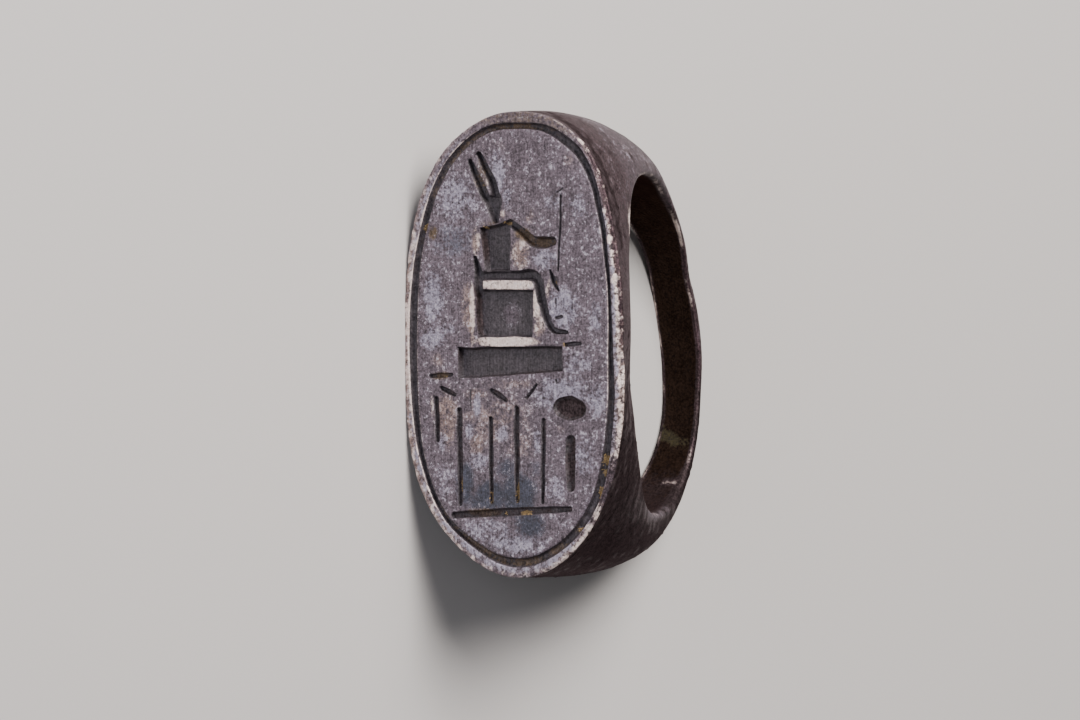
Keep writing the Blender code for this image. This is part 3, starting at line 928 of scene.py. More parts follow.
class CastingMesh:
    """Points, marks and faces of the casting, gathered piece by piece."""

    def __init__(self) -> None:
        """Starts with nothing."""
        self.points: list[Array] = []
        self.marks: dict[Mark, list[Array]] = {mark: [] for mark in Mark}
        self.faces: list[Array] = []
        self.count = 0

    def add(self, points: Array, marks: Marks) -> Array:
        """Adds points with their marks.

        Args:
            points: Any array of (across, along, depth).
            marks: Marks of the same leading shape. A mark that is left out is 0.

        Returns:
            The new points' numbers, in the leading shape.
        """
        shape = points.shape[:-1]
        flat = points.reshape(-1, 3)
        self.points.append(flat)
        for mark in Mark:
            value = np.broadcast_to(np.asarray(marks.get(mark, 0.0), float), shape)
            self.marks[mark].append(value.reshape(-1))
        numbers = np.arange(self.count, self.count + len(flat)).reshape(shape)
        self.count += len(flat)
        return numbers

    def skin(self, grid: Array) -> None:
        """Covers a grid of points with faces, and closes it from its last row to its first.

        Args:
            grid: The points' numbers, by row and column.
        """
        after = np.roll(grid, -1, axis=0)
        corners = [grid[:, :-1], after[:, :-1], after[:, 1:], grid[:, 1:]]
        self.faces.append(np.stack(corners, axis=-1).reshape(-1, 4))

    def laid_object(self, name: str, form: RingForm) -> bpy.types.Object:
        """Makes the Blender object, with its marks as attributes.

        Args:
            name: Name of the object.
            form: The form that says how the ring is laid down.

        Returns:
            The object, laid down in the frame.
        """
        placed = form.laid_down(np.concatenate(self.points))
        mesh = bpy.data.meshes.new(name)
        mesh.from_pydata(placed.tolist(), [], [row for block in self.faces for row in block.tolist()])
        for mark in Mark:
            attribute = mesh.attributes.new(mark.value, "FLOAT", "POINT")
            attribute.data.foreach_set("value", np.concatenate(self.marks[mark]).astype(np.float32))
        mesh.validate()
        mesh.shade_smooth()
        return link_object(name, mesh)


@dataclass(frozen=True)
class Rim:
    """Sizes and wear of the bezel's edge, rim and groove, with a painted highlight along the far side's land.

    Rows of 31 values go round in steps of 12 degrees of turn, from the head by the near side.
    """

    lands: Row = (
        0.66, 0.5, 0.39, 0.32, 0.28, 0.35, 0.53, 0.67, 0.49, 0.47, 0.26, 0.25, 0.41, 0.53, 0.62, 0.56,
        0.62, 0.66, 0.5, 0.5, 0.55, 0.47, 0.33, 0.3, 0.47, 0.53, 0.58, 0.54, 0.48, 0.54, 0.66,
    )
    widths: Row = (
        0.42, 0.45, 0.63, 0.58, 0.46, 0.42, 0.33, 0.2, 0.52, 0.52, 0.62, 0.6, 0.57, 0.56, 0.57, 0.62,
        0.56, 0.45, 0.42, 0.36, 0.36, 0.45, 0.56, 0.62, 0.48, 0.49, 0.48, 0.47, 0.46, 0.44, 0.42,
    )
    bareness: Row = (
        0.1, 0.15, 0.2, 0.25, 0.45, 0.75, 0.95, 1.05, 1.05, 0.8, -0.3, 0.3, 0.95, 0.65, 0.5, 0.42,
        0.42, 0.52, 0.7, 0.85, 0.9, 0.95, 1.0, 1.0, 0.9, 0.7, 0.55, 0.4, 0.3, 0.2, 0.1,
    )
    bare_bands: Row = (
        0.1, 0.1, 0.12, 0.16, 0.2, 0.27, 0.36, 0.34, 0.25, 0.25, 0.3, 0.25, 0.25, 0.25, 0.28, 0.28,
        0.25, 0.2, 0.2, 0.25, 0.25, 0.3, 0.35, 0.35, 0.35, 0.35, 0.35, 0.35, 0.3, 0.2, 0.1,
    )
    brown: Row = (
        1.0, 0.7, 0.2, 0.1, 0.0, 0.0, 0.0, 0.1, 0.6, 0.3, 0.0, 0.1, 0.6, 0.8, 0.9, 0.9,
        0.9, 0.9, 0.7, 0.5, 0.4, 0.1, 0.0, 0.2, 0.4, 0.5, 0.6, 0.7, 0.8, 0.9, 1.0,
    )
    stain: Row = (
        0.0, 0.0, 0.4, 0.6, 0.7, 0.6, 0.5, 0.3, 0.0, 0.5, 1.0, 0.8, 0.1, 0.0, 0.0, 0.0,
        0.0, 0.0, 0.0, 0.3, 0.4, 0.4, 0.4, 0.4, 0.2, 0.0, 0.0, 0.0, 0.0, 0.0, 0.0,
    )
    profile: tuple[Pair, ...] = (
        (0.05, 0.2), (0.15, 0.5), (0.27, 0.8), (0.42, 0.97), (0.6, 1.0), (0.78, 0.93), (0.88, 0.68),
        (0.95, 0.3), (1.0, 0.0),
    )
    groove_depth: float = 0.32
    groove_wander: float = 0.02
    groove_unevenness: float = 0.12
    land_shares: Row = (0.2, 0.4, 0.6, 0.8, 1.0)
    bevel: float = 0.16
    far_bevel: float = 0.1
    bevel_end: float = 0.7
    bevel_power: float = 1.2
    edge_radius: float = 0.07
    edge_wear: float = 0.05
    wall_loops: int = 4
    edge_loops: int = 6
    wear_size: float = 3.0
    land_size: float = 3.5
    fine_size: float = 0.8
    narrow_groove: float = 0.4
    nick: float = 0.03
    nick_size: float = 0.55
    least_nick: float = -0.3
    lip_reach: float = 0.06
    # Where a change starts and is full, in mm: across, along, in from the edge, and by depth.
    near_across: Pair = (3.0, 6.5)
    rubbed_across: Pair = (0.0, 3.0)
    far_across: Pair = (1.0, -4.0)
    far_along: Pair = (-12.5, -9.0)
    faded_along: Pair = (-3.0, 1.5)
    faded_inset: Pair = (0.36, 0.14)
    clouded_inset: Pair = (0.15, 0.35)
    past_band: Pair = (0.14, -0.06)
    cut_depths: Pair = (0.0, 0.09)
    sunk_depths: Pair = (0.04, 0.24)

    def near_side(self, across: Array) -> Array:
        """Share of the near side, where the edge is broad, bevelled and worn."""
        return smooth_step(*self.near_across, across)

    def loops(self, spots: Array, whole: Array, slab_depth: float) -> list[tuple[Array, Array, Zone]]:
        """Works out the loops round the face, from low on the bezel's wall to the groove's inner lip.

        Args:
            spots: Places (across, along) on the face's outline.
            whole: Turn of each place round the face, from 0 to two pi.
            slab_depth: Depth of the lowest loop.

        Returns:
            For each loop, how far in its points are, how deep they are, and their zone.
        """
        near = self.near_side(spots[:, 0])
        worn = np.clip(0.5 + 0.5 * ripple(spots, self.wear_size, SEED + 4), 0, 1)
        radius = self.edge_radius + self.edge_wear * near + (self.edge_wear + self.edge_wear * near) * worn
        bevel = self.bevel * (self.far_bevel + near)
        land = round_face(self.lands, whole) + self.groove_wander * ripple(spots, self.land_size, SEED + 5)
        width = round_face(self.widths, whole)
        uneven = self.groove_unevenness * ripple(spots, self.fine_size, SEED + 7)
        floor = self.groove_depth * (1 + uneven) * smooth_step(0.0, self.narrow_groove, width)
        nicks = np.maximum(ripple(spots, self.nick_size, SEED + 6), self.least_nick)
        loops = []
        for share in np.linspace(0, 1, self.wall_loops + 1)[:-1]:
            level = slab_depth + (radius + bevel - slab_depth) * share
            loops.append((np.zeros(len(spots)), level, Zone.WALL))
        for angle in np.linspace(0, math.pi / 2, self.edge_loops):
            nick = self.nick * math.sin(2 * angle) * nicks
            inset = radius * (1 - math.cos(angle)) + nick
            loops.append((inset, bevel + radius * (1 - math.sin(angle)) + nick, Zone.EDGE))
        for share in self.land_shares:
            flat = np.clip(1 - share / self.bevel_end, 0, 1) ** self.bevel_power
            loops.append((radius + (land - radius) * share, bevel * flat, Zone.LAND))
        for share, sunk in self.profile:
            loops.append((land + width * share, floor * sunk, Zone.GROOVE))
        return loops

    def marks(self, points: Array, whole: Array, inset: Array, zone: Zone, face: FaceFinish) -> Marks:
        """Marks of one loop.

        Args:
            points: The loop's points (across, along, depth).
            whole: Turn of each point round the face.
            inset: How far in from the outline each point is.
            zone: The zone that the loop is in.
            face: Finish of the face, whose stains and earth reach into the groove.

        Returns:
            The marks by kind.
        """
        if zone is Zone.GROOVE:
            return self.groove_marks(points, whole, face)
        across, along = points[:, 0], points[:, 1]
        bareness = round_face(self.bareness, whole)
        far = smooth_step(*self.far_across, across) * smooth_step(*self.far_along, along)
        # Painted highlight: a bright line along the inner edge of the land on the far side.
        lip = 0.9 * far * bell(inset, round_face(self.lands, whole), self.lip_reach)
        inner = smooth_step(*self.past_band, inset - round_face(self.bare_bands, whole))
        bare = bareness * (1 - 0.35 * far) * (0.25 + 0.75 * inner) + lip
        if zone is Zone.WALL:
            # The bezel's wall darkens towards the foot end, partly black sulphide and partly painted shade.
            return {Mark.HOOP: 1.0, Mark.SOOT_AND_SHADE: smooth_step(*FOOT_END, along), Mark.BARE_AND_HIGHLIGHT: 0.3 * bare}
        near = self.near_side(across)
        rubbed = smooth_step(*self.rubbed_across, across) * smooth_step(0.05, 0.25, bareness)
        edge = 0.75 * (zone is Zone.EDGE) * rubbed
        faded = near * smooth_step(*self.faded_along, along) * smooth_step(*self.faded_inset, inset)
        uneven = (0.2 + 0.14 * near) * ripple(points[:, :2], self.fine_size, SEED + 13)
        dull = 1 - smooth_step(0.1, 0.6, bareness)
        clouded = smooth_step(*self.clouded_inset, inset)
        return {
            Mark.BARE_AND_HIGHLIGHT: (np.maximum(0.85 * bare, edge) + uneven) * (1 - 0.65 * faded),
            Mark.HOOP: 0.2 + 0.8 * np.maximum(faded, 0.4 * near * dull),
            Mark.ROUGH: 0.25 + 0.75 * near,
            Mark.WARM: (0.3 + 0.6 * bareness) * (1 - 0.7 * faded),
            Mark.BLOOM: (0.5 - 0.3 * dull + 0.3 * clouded) * (1 - faded),
            Mark.BROWN: 0.62 * dull * (1 - near),
        }

    def groove_marks(self, points: Array, whole: Array, face: FaceFinish) -> Marks:
        """Marks of one loop of the groove.

        Args:
            points: The loop's points (across, along, depth).
            whole: Turn of each point round the face.
            face: Finish of the face, whose stains and earth reach into the groove.

        Returns:
            The marks by kind.
        """
        spots, (across, along, depth) = points[:, :2], points.T
        sunk = smooth_step(*self.sunk_depths, depth)
        stain = np.maximum(round_face(self.stain, whole), face.stain.at(spots))
        # One black spot lies in the groove at the far side of the foot end.
        spot = bell(across, -5.55, 0.2) * bell(along, -9.3, 0.25)
        return {
            Mark.CUT: 0.95 * smooth_step(*self.cut_depths, depth),
            Mark.BARE_AND_HIGHLIGHT: 0.6 * round_face(self.bareness, whole) * (1 - sunk),
            Mark.BLOOM: 0.3,
            Mark.BROWN: 0.75 * round_face(self.brown, whole) * sunk,
            Mark.STAIN: stain * sunk,
            Mark.EARTH: face.earth.at(spots) * sunk,
            Mark.SOOT_AND_SHADE: 0.8 * sunk * spot,
        }


@dataclass(frozen=True)
class HoopFinish:
    """Where the shoulders, the hoop and the finger hole are rubbed, sooty, streaked or crusted, and where
    light and shade are painted on them.

    A pair says where a change starts and is full, or else a bell's centre and reach. It is in mm, but
    an out is a share of the way from hole to ridge, and an edge is a share of the hole's wall.
    """

    lip_reach: float = 0.07
    foot_lip_reach: float = 0.08
    back_depths: Pair = (8.0, 19.0)
    crest_out: Pair = (0.88, 1.0)
    crest_depths: Pair = (8.0, 14.0)
    # Where the upper shoulder at the head end is made lighter, as painted light.
    lit_shoulder_along: Pair = (6.0, 9.5)
    lit_shoulder_depths: Pair = (2.5, 5.5)
    # Where a band just behind the bezel is darkened, as painted shade.
    behind_along: Pair = (4.0, 8.0)
    behind_depths: Pair = (3.2, 1.2)
    # A painted highlight at the head end of the hole, a lighter sill at its foot end that is partly rubbed
    # metal and partly painted highlight, and a brown streak.
    highlight_along: Pair = (7.3, 1.0)
    highlight_reach: float = 0.12
    sill_along: Pair = (-10.35, 0.95)
    sill_reach: float = 0.33
    streak_along: Pair = (-8.6, 0.22)
    streak_depth: Pair = (4.6, 1.3)
    streak_slope: float = 0.12
    # On the hole's wall: its edges, its brown-black film, which is partly tarnish and partly painted shade,
    # darkest away from the edges, and at the back a pale dash, a crust and an olive band.
    soot_and_shade_edge: Pair = (0.12, 0.0)
    film_and_shade_edge: Pair = (0.1, 0.0)
    film_and_shade_along: Pair = (-6.5, -9.0)
    wall_depths: Pair = (14.0, 17.5)
    dash_along: Pair = (-8.41, 0.14)
    dash_start: Pair = (0.0, 0.2)
    dash_end: Pair = (1.3, 1.1)
    crust_along: Pair = (-1.8, 0.9)
    crust_across: Pair = (-1.4, -2.5)
    olive_along: Pair = (-5.8, 0.45)
    olive_across: Pair = (-0.4, 0.6)
    olive_slope: float = 0.3

    def outside(self, points: Array, out: Array) -> Marks:
        """Marks of the shoulders and the hoop.

        Args:
            points: Points (across, along, depth) of one side.
            out: How far out each point is.

        Returns:
            The marks by kind.
        """
        across, along, depth = np.moveaxis(points, -1, 0)
        foot = smooth_step(*FOOT_END, along)
        back = smooth_step(*self.back_depths, depth)
        patchy = 0.55 + 0.45 * np.clip(ripple(points, 2.2, SEED + 12), -1, 1)
        lip = bell(out, 0, self.lip_reach + self.foot_lip_reach * foot) * patchy
        crest = smooth_step(*self.crest_out, out) * smooth_step(*self.crest_depths, depth)
        # Painted highlight: a bright spot at the head end of the hole's edge.
        painted_highlight = bell(along, *self.highlight_along) * bell(out, 0, self.highlight_reach)
        # The sill is lighter, partly rubbed metal and partly painted highlight.
        sill = bell(along, *self.sill_along) * bell(out, 0, self.sill_reach)
        # Painted light: the shoulder at the head end is made lighter where it faces the light from above.
        worn = smooth_step(*self.lit_shoulder_along, along) * smooth_step(*self.lit_shoulder_depths, depth)
        # Painted shade: a darker band on the shoulder just behind the bezel at the head end.
        behind = smooth_step(*self.behind_along, along) * smooth_step(*self.behind_depths, depth)
        streak = bell(along + self.streak_slope * across, *self.streak_along)
        streak = streak * bell(depth, *self.streak_depth)
        uneven = 0.3 * ripple(points, 2.6, SEED + 14)
        mottled = 0.3 * ripple(points, 0.7, SEED + 15)
        # Darker at the foot end, partly black sulphide and partly painted shade, in a band of painted shade
        # just behind the bezel, and a little over the back of the hoop.
        soot_and_shade = 0.8 * foot * (1 - 0.9 * np.maximum(lip, sill)) + 0.2 * back + 0.6 * behind
        bare = 0.75 * lip * (1 - 0.4 * foot * (1 - 0.4 * back)) + 0.6 * crest + 0.5 * painted_highlight
        return {
            Mark.HOOP: 1 - np.maximum(0.45 * worn, 0.6 * sill),
            Mark.SOOT_AND_SHADE: np.clip(soot_and_shade + 0.4 * uneven + mottled, 0, 1),
            Mark.BARE_AND_HIGHLIGHT: np.clip(bare, 0, 0.9),
            Mark.BLOOM: np.clip(0.1 + 0.1 * worn + 0.5 * uneven, 0, 1) * (1 - foot),
            Mark.WARM: np.clip(0.15 + 0.6 * uneven, 0, 1) * (1 - foot),
            Mark.ROUGH: 0.3 + 0.7 * foot,
            Mark.BROWN: 0.7 * streak,
        }

    def inside(self, points: Array, share: Array) -> Marks:
        """Marks of the finger hole's wall.

        Args:
            points: Points (across, along, depth) of the wall.
            share: Share of the way from the wall's near edge to its far one.

        Returns:
            The marks by kind.
        """
        across, along, depth = np.moveaxis(points, -1, 0)
        rim = np.minimum(share, 1 - share)
        back = smooth_step(*self.wall_depths, depth)
        dash = bell(along, *self.dash_along) * smooth_step(*self.dash_start, across)
        dash = dash * smooth_step(*self.dash_end, across) * back
        crust = bell(along, *self.crust_along) * smooth_step(*self.crust_across, across) * back
        olive = 1.25 * bell(along + self.olive_slope * across, *self.olive_along) * back
        # The film is partly tarnish and partly painted shade, darkest away from the wall's edges.
        film_and_shade = 0.95 - 0.5 * smooth_step(*self.film_and_shade_edge, rim) - 0.45 * smooth_step(*self.film_and_shade_along, along)
        return {
            Mark.HOOP: 1.0,
            # Soot and painted shade on the wall, less at its edges.
            Mark.SOOT_AND_SHADE: (0.9 - 0.35 * smooth_step(*self.soot_and_shade_edge, rim)) * (1 - dash) - 0.45 * crust,
            Mark.INSIDE: film_and_shade * (1 - 0.85 * dash) - 0.4 * crust,
            Mark.ROUGH: 0.5,
            Mark.OLIVE: olive * (1 - 0.35 * smooth_step(*self.olive_across, across)) + 0.3 * dash,
            Mark.BLOOM: 0.6 * dash + 0.3 * crust,
            Mark.BARE_AND_HIGHLIGHT: 0.85 * dash,
        }


@dataclass(frozen=True)
class Swell:
    """A low bump or hollow on one side of the hoop or a shoulder, in mm."""

    side: float
    along: float
    depth: float
    reach_along: float
    reach_depth: float
    amount: float

    def at(self, along: Array, depth: Array) -> Array:
        """What the swell adds to the half-width at each point."""
        aside, behind = (along - self.along) / self.reach_along, (depth - self.depth) / self.reach_depth
        return self.amount * np.exp(-(aside**2 + behind**2))


@dataclass(frozen=True)
class CastWear:
    """Slow waves of the cast skin, corrosion pits and the flat spots that the ring rests on, in mm."""

    wave_size: float = 4.5
    wave_depth: float = 0.2
    wave_detail: float = 3.0
    pit_size: float = 0.34
    pit_depth: float = 0.045
    # Where a pit's edge starts and its floor is reached, as shares of the pit size.
    pit_edge: float = 0.42
    pit_floor: float = 0.1

    def tree(self) -> Tree:
        """Makes the Geometry Nodes that wear the casting.

        Returns:
            The tree, which also writes how deep in a pit each point is.
        """
        tree = new_tree("worn_casting", ("Wave Size", "Wave Depth", "Pit Size", "Pit Depth", "Floor"))
        given = add_node(tree, "NodeGroupInput")
        place = add_node(tree, "GeometryNodeInputPosition")[0]
        normal = add_node(tree, "GeometryNodeInputNormal")[0]
        hoop, rough = (
            add_node(tree, "GeometryNodeInputNamedAttribute", {"Name": mark.value}, data_type="FLOAT")[0]
            for mark in (Mark.HOOP, Mark.ROUGH)
        )
        # The waves are strongest on the hoop.
        pace = add_node(tree, MATH, {0: 1.0, 1: given["Wave Size"]}, operation="DIVIDE")[0]
        noise = {"Vector": place, "W": given["Seed"], "Scale": pace, "Detail": self.wave_detail}
        wave = add_node(tree, "ShaderNodeTexNoise", noise, noise_dimensions="4D")[0]
        wave = add_node(tree, MATH, {0: wave, 1: 0.5}, operation="SUBTRACT")[0]
        wave = add_node(tree, MATH, {0: wave, 1: given["Wave Depth"]}, operation="MULTIPLY")[0]
        wave = add_node(tree, MATH, {0: wave, 1: hoop}, operation="MULTIPLY")[0]
        # More of the pits are kept where the casting is rough.
        pace = add_node(tree, MATH, {0: 1.0, 1: given["Pit Size"]}, operation="DIVIDE")[0]
        cell = {"Vector": place, "W": given["Seed"], "Scale": pace}
        cells = add_node(tree, "ShaderNodeTexVoronoi", cell, voronoi_dimensions="4D")
        hollow = {"Value": cells["Distance"], "From Min": self.pit_edge, "From Max": self.pit_floor}
        hollow = add_node(tree, "ShaderNodeMapRange", hollow, interpolation_type="SMOOTHSTEP")[0]
        chance = add_node(tree, MATH, {0: cells["Color"], 1: rough}, operation="LESS_THAN")[0]
        pits = add_node(tree, MATH, {0: hollow, 1: chance}, operation="MULTIPLY")[0]
        deep = add_node(tree, MATH, {0: pits, 1: given["Pit Depth"]}, operation="MULTIPLY")[0]
        lift = add_node(tree, MATH, {0: wave, 1: deep}, operation="SUBTRACT")[0]
        offset = add_node(tree, "ShaderNodeVectorMath", {0: normal, "Scale": lift}, operation="SCALE")[0]
        kept = {"Geometry": given["Geometry"], "Name": PIT, "Value": pits}
        kept = add_node(tree, "GeometryNodeStoreNamedAttribute", kept, data_type="FLOAT")[0]
        moved = add_node(tree, "GeometryNodeSetPosition", {"Geometry": kept, "Offset": offset})[0]
        # Nothing lies under the floor, which leaves the small flat spots that the ring rests on.
        parts = add_node(tree, "ShaderNodeSeparateXYZ", {0: place})
        level = add_node(tree, MATH, {0: parts[2], 1: given["Floor"]}, operation="MAXIMUM")[0]
        rested = add_node(tree, "ShaderNodeCombineXYZ", {0: parts[0], 1: parts[1], 2: level})[0]
        flat = add_node(tree, "GeometryNodeSetPosition", {"Geometry": moved, "Position": rested})[0]
        end_tree(tree, flat, given["Finish"])
        return tree


@dataclass
class SealRing:
    """The ring as one casting: bezel with rim, groove and carving, shoulders and hoop."""

    form: RingForm = RingForm()
    carving: Carving = Carving()
    face: FaceFinish = FaceFinish()
    rim: Rim = Rim()
    hoop: HoopFinish = HoopFinish()
    wear: CastWear = CastWear()
    swells: tuple[Swell, ...] = (
        Swell(-1.0, 2.0, 19.5, 2.5, 4.0, 0.2),
        Swell(-1.0, -8.0, 16.0, 1.3, 5.0, 0.3),
        Swell(-1.0, -4.5, 19.0, 1.5, 4.0, -0.1),
        Swell(1.0, 4.2, 20.0, 1.5, 6.0, -0.22),
        Swell(1.0, -0.6, 20.0, 1.6, 6.0, 0.12),
        Swell(1.0, -2.5, 3.0, 1.8, 3.0, -0.18),
        Swell(1.0, 11.0, 13.0, 2.0, 4.0, 0.1),
    )
    slab_depth: float = 0.6
    # Radius of the finger hole's edge, and what is worn off it round each end of the hole.
    hole_radius: float = 0.2
    hole_wear: float = 0.25
    hole_wear_along: Pair = (9.3, 1.4)
    hole_edge_steps: int = 5
    most_square: float = 3.0
    outline_steps: int = 264
    ridge_steps: int = 168
    side_steps: int = 29
    wall_steps: int = 22
    # The seal face has points this far apart, and closer near the carving, within these half sizes.
    wide_spacing: float = 0.125
    wide_reach: Pair = (7.2, 13.3)
    close_spacing: float = 0.056
    close_reach: Pair = (6.0, 12.0)
    edge_gap: float = 0.05
    # How far outside and inside the cuts' edges the closer points end and the others start.
    close_band: Pair = (-0.12, 0.26)
    wide_band: Pair = (-0.14, 0.28)
    face_wave: float = 0.02
    face_wave_size: float = 5.0
    face_wave_from: float = 1.5

    def rim_loops(self, mesh: CastingMesh) -> tuple[Array, Array, Array]:
        """Builds the bezel's wall, worn edge, rim and groove as loops round the face.

        Args:
            mesh: The casting so far.

        Returns:
            Numbers of the lowest loop, numbers of the innermost loop, and its points.
        """
        half = self.form.even_turns(self.outline_steps)
        turn = np.concatenate([half, half[-2:0:-1]])
        side = np.concatenate([np.ones(len(half)), -np.ones(len(half) - 2)])
        whole = np.where(side > 0, turn, 2 * math.pi - turn)
        across, along = self.form.outline(turn, np.zeros(len(turn)))
        spots = np.stack([side * across, along], axis=1)
        rows = []
        for inset, depth, zone in self.rim.loops(spots, whole, self.slab_depth):
            points = self.loop_points(turn, side, inset, depth, zone)
            rows.append(mesh.add(points, self.rim.marks(points, whole, inset, zone, self.face)))
        mesh.skin(np.stack(rows, axis=1))
        return rows[0], rows[-1], points

    def loop_points(self, turn: Array, side: Array, inset: Array, depth: Array, zone: Zone) -> Array:
        """Places one loop, moved in from the bezel's outline.

        Args:
            turn: Turn of each point, from 0 at the head tip to pi at the foot tip.
            side: 1 on the near side and -1 on the far side.
            inset: How far in each point is.
            depth: How deep it is.
            zone: The zone of the loop. On the wall, the outline is the one at the point's depth.

        Returns:
            The points (across, along, depth).
        """
        level = depth if zone is Zone.WALL else np.zeros(len(depth))
        across, along = self.form.outline(turn, level)
        points = np.stack([side * across + self.form.side_shift(along, level, side), along], axis=1)
        flow = np.roll(points, -1, axis=0) - np.roll(points, 1, axis=0)
        normal = np.stack([-flow[:, 1], flow[:, 0]], axis=1)
        normal /= np.linalg.norm(normal, axis=1)[:, None]
        inward = -np.sign((normal * points).sum(axis=1))[:, None] * normal
        return np.column_stack([points + inset[:, None] * inward, depth])

    def seal_face(self, mesh: CastingMesh, rim: Array, boundary: Array) -> None:
        """Fills the face inside the groove, with the carving sunk into it.

        Args:
            mesh: The casting so far.
            rim: Numbers of the loop round the face.
            boundary: Points of that loop.
        """
        edge = boundary[:, :2]
        spots = self.face_spots(edge)
        depth, inside = self.carving.survey(spots)
        waves = self.face_wave * ripple(spots, self.face_wave_size, SEED + 9)
        far_in = np.min(np.linalg.norm(spots[:, None, :] - edge[None, ::4], axis=2), axis=1)
        depth = depth + waves * smooth_step(0.0, self.face_wave_from, far_in)
        marks = self.face.marks(spots, depth, inside)
        marks[Mark.ROUGH] = 0.25 * (1 - marks[Mark.CUT])
        numbers = mesh.add(np.column_stack([spots, depth]), marks)
        flat = [Vector(point) for point in np.concatenate([edge, spots])]
        ring = [(index, (index + 1) % len(edge)) for index in range(len(edge))]
        _, _, faces, origins, _, _ = delaunay_2d_cdt(flat, ring, [], 1, 1e-5)
        lookup = np.concatenate([rim, numbers])
        source = np.array([lookup[origin[0]] for origin in origins])
        triangles = source[np.array([face for face in faces if len(face) == 3])]
        mesh.faces.append(triangles)
        LOG.info("seal face: %d points, %d triangles", len(spots), len(triangles))

    def face_spots(self, edge: Array) -> Array:
        """Places for the face's points: even over the face, and close together at the carving.

        Args:
            edge: The loop round the face.

        Returns:
            The places (across, along).
        """
        within = Block(tuple(map(tuple, edge[::3])))
        wide = self.hexagonal(self.wide_spacing, *self.wide_reach)
        wide = wide[within.inside(wide) > self.wide_spacing * 0.55]
        close = self.hexagonal(self.close_spacing, *self.close_reach)
        lines = np.concatenate([cut.edge_points(self.close_spacing) for cut in self.carving.cuts()])
        lines = lines - (self.carving.wandered(lines) - lines)
        near = self.carving.survey(close)[1]
        close = close[(near > self.close_band[0]) & (near < self.close_band[1])]
        near = self.carving.survey(wide)[1]
        wide = wide[(near < self.wide_band[0]) | (near > self.wide_band[1])]
        spots = np.concatenate([lines, close, wide])
        spots = spots[within.inside(spots) > self.edge_gap]
        # Of spots that share a cell of about half a spacing, the first is kept.
        cells = np.round(spots / (self.close_spacing * 0.45)).astype(int)
        _, first = np.unique(cells, axis=0, return_index=True)
        return spots[np.sort(first)]

    @staticmethod
    def hexagonal(spacing: float, half_across: float, half_along: float) -> Array:
        """Lays out evenly spaced places, each row set half a step aside.

        Args:
            spacing: Distance between neighbours.
            half_across: How far across the sheet reaches to each side.
            half_along: How far along it reaches to each end.

        Returns:
            The places (across, along).
        """
        rows = np.arange(-half_along, half_along, spacing * math.sqrt(0.75))
        columns = np.arange(-half_across, half_across, spacing)
        along, across = np.meshgrid(rows, columns, indexing="ij")
        across = across + (np.arange(len(rows)) % 2)[:, None] * spacing / 2
        return np.stack([across.ravel(), along.ravel()], axis=1)

    def half_net(self) -> tuple[Array, Array, Array]:
        """Works out half of the ring as a net of rows, each from the finger hole outwards.

        The first rows, from the head tip to the foot tip, end on the bezel's wall. The others, back
        to the head tip, end on the ridge.

        Returns:
            Place (along, depth) of each point, its half-width before swells and shift, and the share
            of the way from the hole to the outer end of its row.
        """
        turn = self.form.even_turns(self.outline_steps)
        depth = np.full(len(turn), self.slab_depth)
        face_width, face_along = self.form.outline(turn, depth)
        ridge = self.form.ridge_line(self.slab_depth, self.ridge_steps)
        outer = np.concatenate([np.stack([face_along, depth], axis=1), ridge])
        behind = np.concatenate([np.zeros(len(turn)), ridge[:, 1]])
        square = self.form.fullness(outer[:, 0], behind)
        hole = np.stack(self.form.hole_point(outer[:, 0], outer[:, 1]), axis=1)
        gap = np.linalg.norm(outer - hole, axis=1)
        share = np.linspace(0, 1, self.side_steps + 1)[None, :]
        spread = np.sin(share * math.pi / 2) ** (2 / np.minimum(square, self.most_square))[:, None]
        radius = self.hole_radius + self.hole_wear * bell(np.abs(hole[:, 0]), *self.hole_wear_along)
        first = (radius / gap)[:, None]
        bend = np.linspace(0, math.pi / 2, self.hole_edge_steps + 1)[None, :-1]
        out = np.concatenate([first * (1 - np.cos(bend)), first + (1 - first) * spread], axis=1)
        lowered = np.concatenate([1 - np.sin(bend[0]), np.zeros(share.shape[1])]) * radius[:, None]
        place = hole[:, None, :] + (outer - hole)[:, None, :] * out[..., None]
        width = self.form.half_width(place[..., 0], place[..., 1], out, square[:, None]) - lowered
        width[:, -1] = np.concatenate([face_width, np.zeros(len(ridge))])
        return place, width, out

    def sides(self, mesh: CastingMesh, slab: Array) -> None:
        """Builds both sides of the ring from bezel to hoop, and the wall of the finger hole.

        Args:
            mesh: The casting so far.
            slab: Numbers of the bezel wall's lowest loop.
        """
        place, width, out = self.half_net()
        along, depth = place[..., 0], place[..., 1]
        last = self.outline_steps
        near = slab[: last + 1]
        far = np.concatenate([slab[:1], slab[:last:-1], slab[last : last + 1]])
        hole_edges = []
        ridge = None
        for side, loop in ((1.0, near), (-1.0, far)):
            swell = sum(bump.at(along, depth) for bump in self.swells if bump.side == side)
            across = side * (width + swell * (1 - out**6)) + self.form.side_shift(along, depth, side)
            points = np.stack([across, along, depth], axis=-1)
            marks = self.hoop.outside(points, out)
            inner = mesh.add(points[:, :-1], {mark: value[:, :-1] for mark, value in marks.items()})
            if ridge is None:
                ends = {mark: value[last + 1 :, -1] for mark, value in marks.items()}
                ridge = mesh.add(points[last + 1 :, -1], ends)
            grid = np.column_stack([inner, np.concatenate([loop, ridge])])
            mesh.skin(grid)
            hole_edges.append((grid[:, 0], points[:, 0]))
        self.hole_wall(mesh, *hole_edges)

